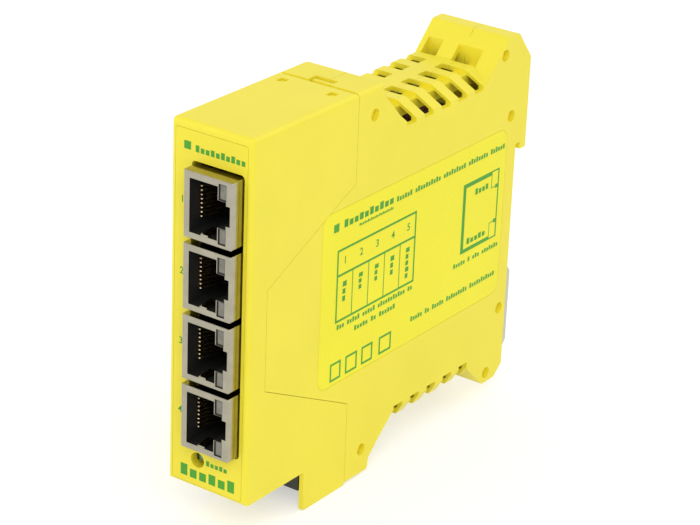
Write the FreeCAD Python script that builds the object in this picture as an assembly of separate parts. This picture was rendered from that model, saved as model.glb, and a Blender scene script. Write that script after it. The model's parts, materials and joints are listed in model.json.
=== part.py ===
"""Unmanaged five-terminal, four-socket network switch in a narrow DIN-rail housing.

Frame, in millimetres: X across the width, right side positive.  Y runs from the sockets
at the front (negative) to the rail behind.  Y = 0 is the plane that seats on the rail,
and Z = 0 is the rail's centre line, which is also the middle of the housing's height.
"""
import FreeCAD, Part
import math
import os

# ---------------------------------------------------------------- rail
RAIL_WIDTH = 35.0
RAIL_PLAY = 0.2            # above the rail's upper edge, inside the claw
RAIL_SLOT = 1.95           # room behind the seat for the rail's flange

# ---------------------------------------------------------------- housing
WIDTH = 22.6
FRONT_DEPTH = 106.0        # front face to rail seat
TOP = 49.5                 # half the height of the hood
WALL = 1.5
FRONT_WALL = 2.0
EDGE_ROUND = 1.2
PARTING = 0.8              # the two base shells meet here, just right of the middle
RIM_GAP = 0.1              # visible groove between the two base shells
SEAM_GAP = 0.12            # visible groove between hood and base

# seam between hood and base, seen from the side
SEAM_DEPTH = 67.8          # top and bottom of the seam, from the rail seat
HOOD_NOSE = 6.1            # the base's side walls stop this far behind the front
SEAM_NOSE = FRONT_DEPTH - HOOD_NOSE
SEAM_SHOULDER = 27.9       # half height where the seam starts to slant
SEAM_NOSE_HALF = 12.4
TONGUE = 2.0               # lip of the base that slides inside the hood
TONGUE_WALL = 0.8
FIT = 0.05                 # clearance of the lip inside the hood

# base profile
BASE_INSET = 0.65          # the base's floor lies this far above the foot of the hood
BASE_BOTTOM = TOP - BASE_INSET
STEP_TOP_DEPTH = 57.9      # end of the full-height section along the top
STEP_BOTTOM_DEPTH = 58.5
STEP_DROP = 2.9            # short upright below that edge, before the slope
STEP_LEAN = (0.7, 0.4)     # the upright leans back by this much, above and below
STEP_ROUND = 0.8
SLOPE_ROUND = 0.6
EAR_ROUND = 1.0
CLAW_ROUNDS = (1.0, 0.4, 0.3)  # shoulder, tip, mouth
FOOT_ROUNDS = (0.8, 1.2, 0.6) # back edge, heel, toe
SLOPE_TOP_DEPTH = 51.05    # slope meets the vented roof
SLOPE_BOTTOM_DEPTH = 51.8
VENT_HALF = 40.2           # half the height across the vented section
EAR_HALF = 46.9
EAR_FRONT = 12.4           # ear's 45 degree front starts here on the vented roof
EAR_LEVEL = 1.4
CLAW_BACK = 4.55
CLAW_SHOULDER = 39.5
CLAW_DROP = 1.9            # the claw's tooth hangs this far below the rail's edge
FOOT_FRONT = 14.1          # foot's front slope starts here on the vented floor
FOOT_TOE = 8.75
FOOT_HALF = 45.2
FOOT_HEEL = 3.4
FOOT_BACK_HALF = 42.4

# vents
SLOT_COUNT = 6
SLOT_PITCH = 7.05
SLOT_WIDTH = 3.7
SLOT_FIRST = 48.2          # front edge of the first slot, from the rail seat
VENT_WALL = 1.2
SLOT_LEFT_END = -5.4
SLOT_RIGHT_START = -0.9
SHOULDER_TOP = (5.6, 37.2)      # (bend in the roof, edge on the right side)
SHOULDER_BOTTOM = (9.5, 37.2)
SLOT_SIDE_END = 36.2       # the slots run down the right side to this half height
SHOULDER_WALL = 0.8          # wall below the shoulders' slopes
SHOULDER_RUNS = (0.952381, 1.0)  # run of the top shoulder's front and back slopes per rise
BAFFLE = (2.4, 6.2)        # rib below the right-hand slots that stops tools and wires
BAFFLE_DEPTH = 3.0

# hood
HOOD_FRONT_BOTTOM = 39.3
PLUG_ROOM_FRONT = 84.1     # wings of the hood start here, beside the plug
PLUG_ROOM_ROUNDS = (0.8, 0.6)  # lower front corner, inner corner
WING_WALL = 1.2
WINDOW_LEFT = 0.9          # gaps between the row of sockets and the hood's window
WINDOW_RIGHT = 0.3
WINDOW_ENDS = 0.7
WINDOW_ROUND = 1.0
OVERLAY_SIDE = 1.35        # printed film on the front: border left and right
OVERLAY_TOP = 47.5
OVERLAY_BOTTOM = 38.3
OVERLAY_THICK = 0.25
OVERLAY_GAP = 0.1
OVERLAY_ROUND = 0.6
LATCH_HALF = 3.1
LATCH_LENGTH = 3.2
LATCH_PLAY = 0.4
LATCH_ROOT = 6.0           # the hook's arm is joined to the roof over this length
LATCH_TIP = (0.6, 1.8)     # top of the tooth, from its back
SNAP_X = 7.0
SNAP_AHEAD = 4.4           # the snap holes lie this far ahead of the seam
SNAP_DEPTH = SEAM_DEPTH + SNAP_AHEAD
SNAP_SIZE = (2.2, 2.4)
SNAP_PLAY = 0.2
RIB = 0.9
RIB_HEIGHT = 1.2

# snap pins that join the two base shells: (distance from the rail seat, half height)
PIN_PLACES = ((61.3, 42.6), (7.2, 42.6), (2.9, 25.9))
PIN_HOLE = 1.5
PIN_PLAY = 0.05
PIN_RECESS = 1.3           # the pins stop this far below the right side face
BOSS = 2.6

# side label
LABEL_FRONT = 79.8
LABEL_BACK = 4.2
LABEL_TOP = 23.2
LABEL_BOTTOM = 20.6
LABEL_ROUND = 3.0
LABEL_THICK = 0.15
LABEL_GAP = 0.1

# main board, upright and parallel to the sides
BOARD_FACE = -4.5          # component side
BOARD_THICK = 1.6
BOARD_GAP = 0.4            # behind the hood's front wall
BOARD_TOP = 45.5
BOARD_BOTTOM = 37.2
BOARD_STEP_DEPTH = 65.6
BOARD_BACK = 8.0
BOARD_ROUND = 0.8
NOTCH_ROUND = 0.5
BOARD_TAPER = 3.0          # the board is this much lower at its back end, above and below
POST_PLACES = ((62.0, 30.0), (62.0, -30.0), (14.0, 28.0), (14.0, -28.0))
FRONT_POST = (85.0, 0.0)
POST = 2.5
POST_PIN = 1.0
POST_PIN_PLAY = 0.1
POST_PIN_LENGTH = 2.4

# network sockets, one above the other with their latches towards the right side
JACK_COUNT = 4
JACK_PITCH = 17.15
JACK_TOP_CENTRE = 32.1
JACK_HEIGHT = 13.35        # off the board
JACK_WIDTH = 15.75
JACK_PROUD = 3.9           # in front of the hood
JACK_DEPTH = 21.0
SHEET = 0.3
SOCKET_FLOOR = 1.7         # all measured off the board
SOCKET_ROOF = 9.45
SOCKET_HALF = 6.33
LATCH_STEP_ROOF = 11.75
LATCH_STEP_HALF = 3.2
KEY_STEP_ROOF = 12.85
KEY_STEP_HALF = 2.35
SOCKET_DEPTH = 13.2
LIGHT_ROOF = 11.8
LIGHT_HEIGHT = 2.15
LIGHT_INNER = 3.25
LIGHT_OUTER = 7.05
LIGHT_FRAME = 0.3
LIGHT_DEPTH = 9.0
CONTACT_COUNT = 8
CONTACT_PITCH = 1.02
CONTACT_WIDTH = 0.4
CONTACT_THICK = 0.3
CONTACT_BEND = 1.2         # height of the hairpin's bend, in thicknesses
CONTACT_SET_BACK = 3.4
CONTACT_RISE = 3.3
CONTACT_RUN = 8.2
TAB = (4.9, 6.9)           # spring tab of the shield, beside the socket
TAB_REACH = 4.0
TAB_THICK = 0.24
COMB_RISE = 1.0            # slots for the contacts reach this far above their tips
COMB_DEPTH = 1.2
LOWER_LEG = 0.6            # share of the contact that lies along the floor

# components, as (distance from the rail seat, height) of the middle, then sizes
LEAD_PITCH = 1.27
LEAD_WIDTH = 0.5
LEAD_THICK = 0.25
LEAD_REACH = 1.0           # leads stand out this far beside the body
CHIP_LIFT = 0.1
CHIP_CHAMFER = 0.25
SWITCH_CHIP_PLACE = (73.0, 12.0)
SWITCH_CHIP_SIZE = (14.0, 14.0, 1.5)
REGULATOR_PLACE = (44.0, -8.0)
REGULATOR_SIZE = (5.0, 4.0, 1.6)
CRYSTAL_PLACE = (56.5, 6.25)
CRYSTAL_SIZE = (11.0, 4.5, 3.6)
CRYSTAL_END = 0.485        # radius of the can's ends, as a share of its height
CRYSTAL_FLANGE = (0.5, 0.5)     # width all round, thickness
INDUCTOR_PLACE = (24.0, 27.0)
INDUCTOR_RADIUS = 6.0
INDUCTOR_HEIGHT = 8.0
INDUCTOR_FLANGE = 1.2
WINDING_RADIUS = 5.4
CAPACITOR_PLACES = ((44.0, -22.0), (34.5, -22.0))
CAPACITOR_RADIUS = 4.0
CAPACITOR_HEIGHT = 11.5
CAPACITOR_EDGE = 0.4
GROOVE_HEIGHT = 1.6
GROOVE = (0.45, 0.25)      # half width, depth

# power light
LAMP_HEIGHT = 1.84         # axis off the board
LAMP_Z = -31.9
LAMP_RADIUS = 1.5
LAMP_HOLE = 1.9
LAMP_SET_BACK = 1.4
LAMP_LENGTH = 5.3
LAMP_FLANGE = 1.75
LAMP_FLANGE_THICK = 1.0
LAMP_LEAD = 0.4            # square lead
LAMP_LEAD_SIDE = 0.6
LAMP_LEAD_RUN = 2.0        # from the flange to the bend

# supply header, pointing down between the hood's wings
POLES = 5
POLE_PITCH = 3.81
HEADER_END = 2.05
HEADER_DEPTH = 7.25
HEADER_HEIGHT = 9.2
HEADER_BELOW = 5.5         # below the hood's floor
HEADER_WALL = 1.1
HEADER_ROOF = 1.5
HEADER_PLAY = 0.1
HEADER_FLANGE = 1.2
KEY_WIDTH = 1.7
KEY_DEPTH = 0.5
KEY_SHORT = 1.0            # the keyways end this far below the socket's roof
PIN_SIZE = 0.8
PIN_BOARD_PLAY = 0.1
PIN_FIRST_RISE = 4.5       # first board row above the header
PIN_ROW = 1.8
PIN_TIP = 1.4
PIN_OUT = 0.6

# rail catch, a slide in the back wall of the foot
CATCH_HALF = 9.3
CATCH_BACK = 4.5
CATCH_PLAY = 0.1
CATCH_BOTTOM = 39.0
CATCH_CHAMFER = 1.2
CATCH_TIP = 0.9            # flat on the tooth's tip
CATCH_LEAD = 2.1
CATCH_TOOTH = 1.0          # overlap behind the rail's lower edge
CATCH_TRAVEL = 3.5
STEM_HALF = 3.0
HEAD_HALF = 4.0
HEAD_THICK = 4.4
STEM_TOP = 29.2
STEM_HEIGHT = 3.6
SPRING_LENGTH = 6.9
SPRING_RADIUS = 1.6
SPRING_WIRE = 0.25
SPRING_TURNS = 5
SPRING_STEPS = 12          # straight lengths in each turn
WIRE_SIDES = 6
SPIGOT = 1.1
SPIGOT_LENGTH = 1.2
SHELF = 1.4
PRY_SLOT = (5.0, 1.2, 3.0) # width, thickness, height
PRY_BACK = 2.4             # the pry slot starts this far ahead of the catch's back

# derived planes
HALF = WIDTH / 2
FRONT = -FRONT_DEPTH
INNER = HALF - WALL
BOARD_BACK_FACE = BOARD_FACE - BOARD_THICK
JACK_FRONT = FRONT - JACK_PROUD
JACK_CENTRES = [JACK_TOP_CENTRE - JACK_PITCH * n for n in range(JACK_COUNT)]
HOOD_FLOOR = -HOOD_FRONT_BOTTOM + WALL
FRONT_MIDDLE = (TOP - HOOD_FRONT_BOTTOM) / 2
FRONT_HALF = (TOP + HOOD_FRONT_BOTTOM) / 2
HEADER_HALF = (POLES - 1) * POLE_PITCH / 2 + HEADER_END
HEADER_FRONT = -PLUG_ROOM_FRONT + HEADER_PLAY
HEADER_BACK = HEADER_FRONT + HEADER_DEPTH
HEADER_MOUTH = -HOOD_FRONT_BOTTOM - HEADER_BELOW
HEADER_TOP = HEADER_MOUTH + HEADER_HEIGHT
PIN_Y = (HEADER_FRONT + HEADER_BACK) / 2
LAMP_X = BOARD_FACE + LAMP_HEIGHT
RAIL_EDGE = RAIL_WIDTH / 2


# ---------------------------------------------------------------- building blocks
def vec(x, y, z):
    return FreeCAD.Vector(x, y, z)


def block(x_span, y_span, z_span):
    """Box between three pairs of coordinates, given in any order."""
    spans = [sorted(span) for span in (x_span, y_span, z_span)]
    sizes = [high - low for low, high in spans]
    return Part.makeBox(*sizes, vec(*[low for low, _ in spans]))


def cylinder(start, direction, radius, length):
    return Part.makeCylinder(radius, length, start, direction)


def along_x(y, z, radius, x_span):
    low, high = sorted(x_span)
    return cylinder(vec(low, y, z), vec(1, 0, 0), radius, high - low)


def along_y(x, z, radius, y_span):
    low, high = sorted(y_span)
    return cylinder(vec(x, low, z), vec(0, 1, 0), radius, high - low)


def along_z(x, y, radius, z_span):
    low, high = sorted(z_span)
    return cylinder(vec(x, y, low), vec(0, 0, 1), radius, high - low)


def rounded_wire(corners):
    """Closed wire through (point, radius) corners, with a tangent arc at each radius."""
    edges = []
    ends = []
    for index, (point, radius) in enumerate(corners):
        before = (corners[index - 1][0] - point).normalize()
        after = (corners[(index + 1) % len(corners)][0] - point).normalize()
        if radius == 0:
            ends.append((point, point))
            continue
        half_angle = before.getAngle(after) / 2
        reach = radius / math.tan(half_angle)
        start = point + before * reach
        finish = point + after * reach
        bisector = (before + after).normalize()
        middle = point + bisector * (radius / math.sin(half_angle) - radius)
        edges.append(Part.Arc(start, middle, finish).toShape())
        ends.append((start, finish))
    for index, (_, leave) in enumerate(ends):
        arrive = ends[(index + 1) % len(ends)][0]
        if leave.distanceToPoint(arrive) > 1e-6:
            edges.append(Part.LineSegment(leave, arrive).toShape())
    return Part.Wire(Part.__sortEdges__(edges))


def side_wire(corners, x=0.0):
    """Closed wire in a plane across X, from (y, z) or (y, z, radius) corners."""
    return rounded_wire([(vec(x, c[0], c[1]), c[2] if len(c) > 2 else 0) for c in corners])


def side_prism(corners, x_span, inset=0.0):
    """Side profile carried across the width, drawn in all round by the inset."""
    low, high = sorted(x_span)
    wire = side_wire(corners, low)
    if inset:
        wire = wire.makeOffset2D(-inset, 2)
    return Part.Face(wire).extrude(vec(high - low, 0, 0))


def front_prism(corners, y_span):
    """Front profile from (x, z) or (x, z, radius) corners, carried along Y."""
    low, high = sorted(y_span)
    points = [(vec(c[0], low, c[1]), c[2] if len(c) > 2 else 0) for c in corners]
    return Part.Face(rounded_wire(points)).extrude(vec(0, high - low, 0))


def plate_corners(a_span, b_span, radius):
    (a0, a1), (b0, b1) = sorted(a_span), sorted(b_span)
    return [(a0, b0, radius), (a1, b0, radius), (a1, b1, radius), (a0, b1, radius)]


def ribbon(points, thickness):
    """Outline, as 2-D points, of a strip of even thickness bent along a path."""
    left, right = [], []
    for index, point in enumerate(points):
        directions = []
        for a, b in ((index - 1, index), (index, index + 1)):
            if a < 0 or b >= len(points):
                continue
            step = (points[b][0] - points[a][0], points[b][1] - points[a][1])
            length = math.hypot(*step)
            directions.append((step[0] / length, step[1] / length))
        first, last = directions[0], directions[-1]
        normal = (-(first[1] + last[1]), first[0] + last[0])
        size = math.hypot(*normal)
        normal = (normal[0] / size, normal[1] / size)
        cosine = -normal[0] * first[1] + normal[1] * first[0]
        shift = thickness / 2 / cosine
        left.append((point[0] + normal[0] * shift, point[1] + normal[1] * shift))
        right.append((point[0] - normal[0] * shift, point[1] - normal[1] * shift))
    return left + right[::-1]


def fuse(shapes):
    first, *rest = shapes
    return first.fuse(rest).removeSplitter() if rest else first


def edges_where(shape, test):
    """Straight edges whose two ends both pass the test."""
    found = []
    for edge in shape.Edges:
        ends = [vertex.Point for vertex in edge.Vertexes]
        if len(ends) == 2 and all(test(end) for end in ends):
            found.append(edge)
    return found


def near(a, b):
    return abs(a - b) < 1e-4


# ---------------------------------------------------------------- side profiles
def base_profile(closed_back=False):
    """Base seen from the right, carried forward under the hood to the front face."""
    roof = [
        (FRONT, TOP),
        (-STEP_TOP_DEPTH, TOP, STEP_ROUND),
        (-STEP_TOP_DEPTH + STEP_LEAN[0], TOP - STEP_DROP, STEP_ROUND),
        (-SLOPE_TOP_DEPTH, VENT_HALF, SLOPE_ROUND),
        (-EAR_FRONT, VENT_HALF),
        (-EAR_FRONT + EAR_HALF - VENT_HALF, EAR_HALF, EAR_ROUND),
        (-EAR_LEVEL, EAR_HALF, EAR_ROUND),
    ]
    claw = [
        (CLAW_BACK, CLAW_SHOULDER, CLAW_ROUNDS[0]),
        (CLAW_BACK, RAIL_EDGE - CLAW_DROP + RAIL_PLAY, CLAW_ROUNDS[1]),
        (RAIL_SLOT, RAIL_EDGE - CLAW_DROP + RAIL_PLAY, CLAW_ROUNDS[2]),
        (RAIL_SLOT, RAIL_EDGE + RAIL_PLAY),
        (0.0, RAIL_EDGE + RAIL_PLAY),
    ]
    floor = [
        (0.0, -FOOT_BACK_HALF, FOOT_ROUNDS[0]),
        (-FOOT_HEEL, -FOOT_HALF, FOOT_ROUNDS[1]),
        (-FOOT_TOE, -FOOT_HALF, FOOT_ROUNDS[2]),
        (-FOOT_FRONT, -VENT_HALF),
        (-SLOPE_BOTTOM_DEPTH, -VENT_HALF, SLOPE_ROUND),
        (-STEP_BOTTOM_DEPTH + STEP_LEAN[1], -BASE_BOTTOM + STEP_DROP, STEP_ROUND),
        (-STEP_BOTTOM_DEPTH, -BASE_BOTTOM, STEP_ROUND),
        (FRONT, -BASE_BOTTOM),
    ]
    if closed_back:
        plain_back = [(0.0, EAR_HALF - EAR_LEVEL)]
        return [corner[:2] for corner in roof + plain_back + floor]
    return roof + claw + floor


def seam_region(reach=0.0, draw_in=0.0):
    """Everything behind the seam, moved forward by the reach or drawn in by a gap."""
    far = FRONT_DEPTH
    corners = [
        (-SEAM_DEPTH - reach, far),
        (-SEAM_DEPTH - reach, SEAM_SHOULDER),
        (-SEAM_NOSE - reach, SEAM_NOSE_HALF),
        (-SEAM_NOSE - reach, -SEAM_NOSE_HALF),
        (-SEAM_DEPTH - reach, -SEAM_SHOULDER),
        (-SEAM_DEPTH - reach, -far),
        (far, -far),
        (far, far),
    ]
    return side_prism(corners, (-WIDTH, WIDTH), draw_in)


def hood_profile():
    """Hood seen from the right, with the deep notch for the supply plug below."""
    return [
        (FRONT, -HOOD_FRONT_BOTTOM),
        (-PLUG_ROOM_FRONT, -HOOD_FRONT_BOTTOM, PLUG_ROOM_ROUNDS[0]),
        (-PLUG_ROOM_FRONT, -TOP, PLUG_ROOM_ROUNDS[1]),
        (-SEAM_DEPTH, -TOP, BASE_INSET),
        (-SEAM_DEPTH, -SEAM_SHOULDER),
        (-SEAM_NOSE, -SEAM_NOSE_HALF),
        (-SEAM_NOSE, SEAM_NOSE_HALF),
        (-SEAM_DEPTH, SEAM_SHOULDER),
        (-SEAM_DEPTH, TOP),
        (FRONT, TOP),
    ]


# ---------------------------------------------------------------- base shells
def shoulder_cut(side, bend, edge_half, wall=0.0):
    """Wedge that slopes the right edge of the vented roof (side 1) or floor (side -1).

    A wall moves it inwards by that much, for the inner face of the same slope.
    """
    steep = VENT_HALF - edge_half
    high = VENT_HALF + steep
    if side > 0:
        front, back = -SLOPE_TOP_DEPTH, -EAR_FRONT
        front_run, back_run = SHOULDER_RUNS
    else:
        front, back = -SLOPE_BOTTOM_DEPTH, -FOOT_FRONT
        front_run = (STEP_BOTTOM_DEPTH - SLOPE_BOTTOM_DEPTH) / (BASE_BOTTOM - STEP_DROP - VENT_HALF)
        back_run = (FOOT_FRONT - FOOT_TOE) / (FOOT_HALF - VENT_HALF)
    between = side_prism([
        (front + steep * front_run, side * edge_half),
        (back - steep * back_run, side * edge_half),
        (back + steep * back_run, side * high),
        (front - steep * front_run, side * high),
    ], (0.0, WIDTH), -wall)
    lean = math.atan2(steep, HALF - bend)
    drop = wall / math.cos(lean)
    top = bend - wall / math.sin(lean)
    wedge = front_prism([
        (top, side * VENT_HALF),
        (HALF, side * (edge_half - drop)),
        (WIDTH, side * (edge_half - drop)),
        (WIDTH, side * high),
        (top, side * high),
    ], (FRONT, FRONT_DEPTH))
    return between.common(wedge)


def base_outer():
    """Outside of the base: full profile, shoulders beside the vents, rounded edges."""
    body = side_prism(base_profile(), (-HALF, HALF))
    body = body.cut(shoulder_cut(1, *SHOULDER_TOP))
    body = body.cut(shoulder_cut(-1, *SHOULDER_BOTTOM))
    long_edges = edges_where(body, lambda p: near(abs(p.x), HALF) and near(p.z, TOP))
    return body.makeFillet(EDGE_ROUND, long_edges)


def base_cavity(inset=0.0):
    """Room inside the walls; a positive inset draws it in for the lip and its fit."""
    inner = INNER - inset
    room = side_prism(base_profile(closed_back=True), (-inner, inner), WALL + inset)
    vents = (-SLOPE_TOP_DEPTH, -EAR_FRONT - WALL)
    thinned = VENT_HALF - VENT_WALL - inset
    lift = block((-inner, SHOULDER_TOP[0] - WALL), vents, (-thinned, thinned))
    return room.fuse(lift)


def base_lip():
    """Lip round the base's open front that slides inside the hood."""
    ring = base_cavity(FIT).cut(base_cavity(TONGUE_WALL + FIT))
    ahead = ring.common(seam_region(reach=TONGUE)).cut(seam_region(draw_in=SEAM_GAP))
    root = base_cavity(-FIT).cut(base_cavity(TONGUE_WALL + FIT))
    root = root.common(seam_region(draw_in=SEAM_GAP)).cut(seam_region(reach=-TONGUE))
    lip = ahead.fuse(root)
    clear_of_plug = block((-WIDTH, WIDTH), (-FRONT_DEPTH, 0), (HOOD_FLOOR + FIT, FRONT_DEPTH))
    return lip.common(clear_of_plug)


def bulkhead():
    """Wall that closes the base behind the plug room."""
    front = -SEAM_DEPTH + SEAM_GAP
    return block((-INNER, INNER), (front, front + WALL), (-BASE_BOTTOM, HOOD_FLOOR - FIT))


def snap_arms():
    """Two arms on the base whose nubs click into the holes in the hood's top."""
    arms = []
    under = TOP - WALL - FIT
    wide, long = SNAP_SIZE
    for x in (-SNAP_X, SNAP_X):
        half = wide / 2
        tip = -SNAP_DEPTH - long
        arms.append(block((x - half, x + half), (tip, -SEAM_DEPTH + WALL), (under - TONGUE_WALL, under)))
        nub = side_prism([
            (-SNAP_DEPTH - long / 2 + SNAP_PLAY, under),
            (-SNAP_DEPTH + long / 2 - SNAP_PLAY, under),
            (-SNAP_DEPTH + long / 2 - SNAP_PLAY, TOP - WALL / 3),
            (-SNAP_DEPTH, TOP - WALL / 3),
        ], (x - half + SNAP_PLAY, x + half - SNAP_PLAY))
        arms.append(nub)
    return arms


def slot_starts():
    return [-SLOT_FIRST + SLOT_PITCH * n for n in range(SLOT_COUNT)]


def vent_slots():
    """Slots through roof and floor: short ones on the left, long ones over the right."""
    roof = VENT_HALF - VENT_WALL
    high = EAR_HALF + WALL
    cuts = []
    for start in slot_starts():
        y_span = (start, start + SLOT_WIDTH)
        for side in (1, -1):
            cuts.append(block((-WIDTH, SLOT_LEFT_END), y_span, (side * roof, side * high)))
            cuts.append(block((SLOT_RIGHT_START, BAFFLE[1]), y_span, (side * roof, side * high)))
            cuts.append(block((BAFFLE[1], WIDTH), y_span, (side * SLOT_SIDE_END, side * high)))
    open_sides = block((-WIDTH, WIDTH), (-SLOPE_BOTTOM_DEPTH, -FOOT_FRONT), (-high, high))
    ear_foot = block((-INNER, BAFFLE[1]), (-FOOT_FRONT, 0), (0, high))
    return fuse(cuts).common(open_sides.fuse(ear_foot))


def vent_baffles():
    """Ribs that run below the long slots, with the board's air gap to their left."""
    roof = VENT_HALF - VENT_WALL
    last = slot_starts()[-1] + SLOT_WIDTH
    ends = ((1, last), (-1, -FOOT_FRONT))
    return [
        block(BAFFLE, (-SLOPE_TOP_DEPTH, end), (side * roof, side * (roof - BAFFLE_DEPTH)))
        for side, end in ends
    ]


def ear_wall():
    """Wall that closes the hollow ear behind the roof's last slot."""
    front = slot_starts()[-1] + SLOT_WIDTH
    wall = block((-INNER, INNER), (front, front + WALL), (VENT_HALF - WALL, EAR_HALF))
    return wall.common(base_outer())


def catch_slot():
    """Opening in the foot's back wall for the catch's stem, over its whole travel."""
    half = STEM_HALF + CATCH_PLAY
    bottom = -STEM_TOP - STEM_HEIGHT - CATCH_TRAVEL - CATCH_PLAY
    return block((-half, half), (-WALL - FIT, WIDTH), (bottom, -STEM_TOP + CATCH_PLAY))


def spring_shelf():
    """Shelf and spigot that hold the lower end of the catch spring."""
    seat = -STEM_TOP - STEM_HEIGHT - SPRING_LENGTH
    centre = spring_y()
    reach = SPRING_RADIUS + SPRING_WIRE + FIT
    shelf = block((-INNER, INNER), (centre - reach, -WALL / 2), (seat - SHELF, seat))
    spigot = along_z(0, centre, SPIGOT, (seat - SHELF, seat + SPIGOT_LENGTH))
    return shelf.fuse(spigot)


def spring_y():
    return -WALL - CATCH_PLAY - HEAD_THICK / 2


def latch_window():
    """Window in the base's top, behind the seam, for the hood's hook."""
    back = -SEAM_DEPTH + LATCH_LENGTH
    front = -SEAM_DEPTH - TONGUE - SNAP_DEPTH
    return block((-LATCH_HALF, LATCH_HALF), (front, back), (TOP - WALL - TONGUE_WALL - WALL, TOP + WALL))


def base_common():
    """Everything the two base shells share, before they are parted."""
    room = base_cavity()
    for side, shoulder in ((1, SHOULDER_TOP), (-1, SHOULDER_BOTTOM)):
        room = room.cut(shoulder_cut(side, *shoulder, SHOULDER_WALL))
    body = base_outer().cut(room).common(seam_region(draw_in=SEAM_GAP))
    body = fuse([body, base_lip(), bulkhead(), spring_shelf(), *snap_arms(), *vent_baffles(), ear_wall()])
    body = body.cut(vent_slots()).cut(catch_slot()).cut(latch_window())
    return body


def pin_points():
    return [(-depth, side * half) for depth, half in PIN_PLACES for side in (1, -1)]


def base_shell_left(common):
    """Left shell, with the board's posts and the six snap pins."""
    shell = common.common(block((-WIDTH, PARTING), (-FRONT_DEPTH, FRONT_DEPTH), (-TOP, TOP)))
    inside = base_outer().cut(vent_slots())
    additions = [shell]
    for y, z in pin_points():
        additions.append(along_x(y, z, BOSS, (-INNER - WALL / 2, PARTING)).common(inside))
        additions.append(along_x(y, z, PIN_HOLE - PIN_PLAY, (0, HALF - PIN_RECESS)))
    for depth, z in (*POST_PLACES, FRONT_POST):
        additions.append(along_x(-depth, z, POST, (-INNER - WALL / 2, BOARD_BACK_FACE)))
        tip = BOARD_BACK_FACE + POST_PIN_LENGTH
        additions.append(along_x(-depth, z, POST_PIN, (BOARD_BACK_FACE - WALL, tip)))
    return fuse(additions)


def base_shell_right(common):
    """Right shell, with the open snap holes, board clamps and the label's recess."""
    start = PARTING + RIM_GAP
    shell = common.common(block((start, WIDTH), (-FRONT_DEPTH, FRONT_DEPTH), (-TOP, TOP)))
    inside = base_outer().cut(vent_slots())
    additions = [shell]
    for y, z in pin_points():
        additions.append(along_x(y, z, BOSS, (PARTING, INNER + WALL / 2)).common(inside))
    for depth, z in POST_PLACES:
        additions.append(along_x(-depth, z, POST, (BOARD_FACE, INNER + WALL / 2)))
    shell = fuse(additions)
    holes = [along_x(y, z, PIN_HOLE, (0, WIDTH)) for y, z in pin_points()]
    relief = POST_PIN + POST_PIN_PLAY
    holes += [along_x(-d, z, relief, (BOARD_FACE, BOARD_FACE + POST_PIN_LENGTH)) for d, z in POST_PLACES]
    return shell.cut(fuse(holes)).cut(label_plate(LABEL_GAP, LABEL_THICK))


def label_plate(grow, thickness):
    """Side label as a plate flush with the right side, or the recess it sits in."""
    corners = plate_corners(
        (-LABEL_FRONT - grow, -LABEL_BACK + grow),
        (-LABEL_BOTTOM - grow, LABEL_TOP + grow),
        LABEL_ROUND + grow,
    )
    return side_prism(corners, (HALF - thickness, HALF))


# ---------------------------------------------------------------- hood
def jack_block():
    """Outer limits of the row of sockets: x span and z span."""
    return (
        (BOARD_FACE, BOARD_FACE + JACK_HEIGHT),
        (JACK_CENTRES[-1] - JACK_WIDTH / 2, JACK_CENTRES[0] + JACK_WIDTH / 2),
    )


def window_prism(y_span, grow=0.0):
    (x0, x1), (z0, z1) = jack_block()
    corners = plate_corners(
        (x0 - WINDOW_LEFT - grow, x1 + WINDOW_RIGHT + grow),
        (z0 - WINDOW_ENDS - grow, z1 + WINDOW_ENDS + grow),
        WINDOW_ROUND + grow,
    )
    return front_prism(corners, y_span)


def overlay_plate(grow, thickness):
    """Printed film on the front, flush with it, or the recess it sits in."""
    side = HALF - OVERLAY_SIDE + grow
    z_span = (-OVERLAY_BOTTOM - grow, OVERLAY_TOP + grow)
    corners = plate_corners((-side, side), z_span, OVERLAY_ROUND + grow)
    return front_prism(corners, (FRONT, FRONT + thickness))


def hood_latch():
    """Hook that runs back under the base's top and rises in the latch window."""
    half = LATCH_HALF - LATCH_PLAY
    under = TOP - WALL
    back = -SEAM_DEPTH + LATCH_LENGTH - LATCH_PLAY
    profile = [
        (-SEAM_DEPTH - LATCH_ROOT, under),
        (-SEAM_DEPTH - LATCH_ROOT, under - WALL),
        (back, under - WALL),
        (back, under),
        (back - LATCH_TIP[0], TOP - WALL / 4),
        (back - LATCH_TIP[1], TOP - WALL / 4),
        (back - LATCH_TIP[1], under),
    ]
    return side_prism(profile, (-half, half))


def hood_ribs():
    """Stiffening ribs inside the front wall, above and below the window."""
    back = FRONT + FRONT_WALL
    top_rib = block((-INNER, INNER), (back, back + RIB_HEIGHT), (TOP - WALL - 2 * RIB, TOP - WALL - RIB))
    lamp_ring = along_y(LAMP_X, LAMP_Z, LAMP_HOLE + RIB, (back, back + RIB_HEIGHT))
    beside_board = block((BOARD_FACE + BOARD_GAP, HALF), (FRONT, 0), (-TOP, TOP))
    return [top_rib, lamp_ring.common(beside_board)]


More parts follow.
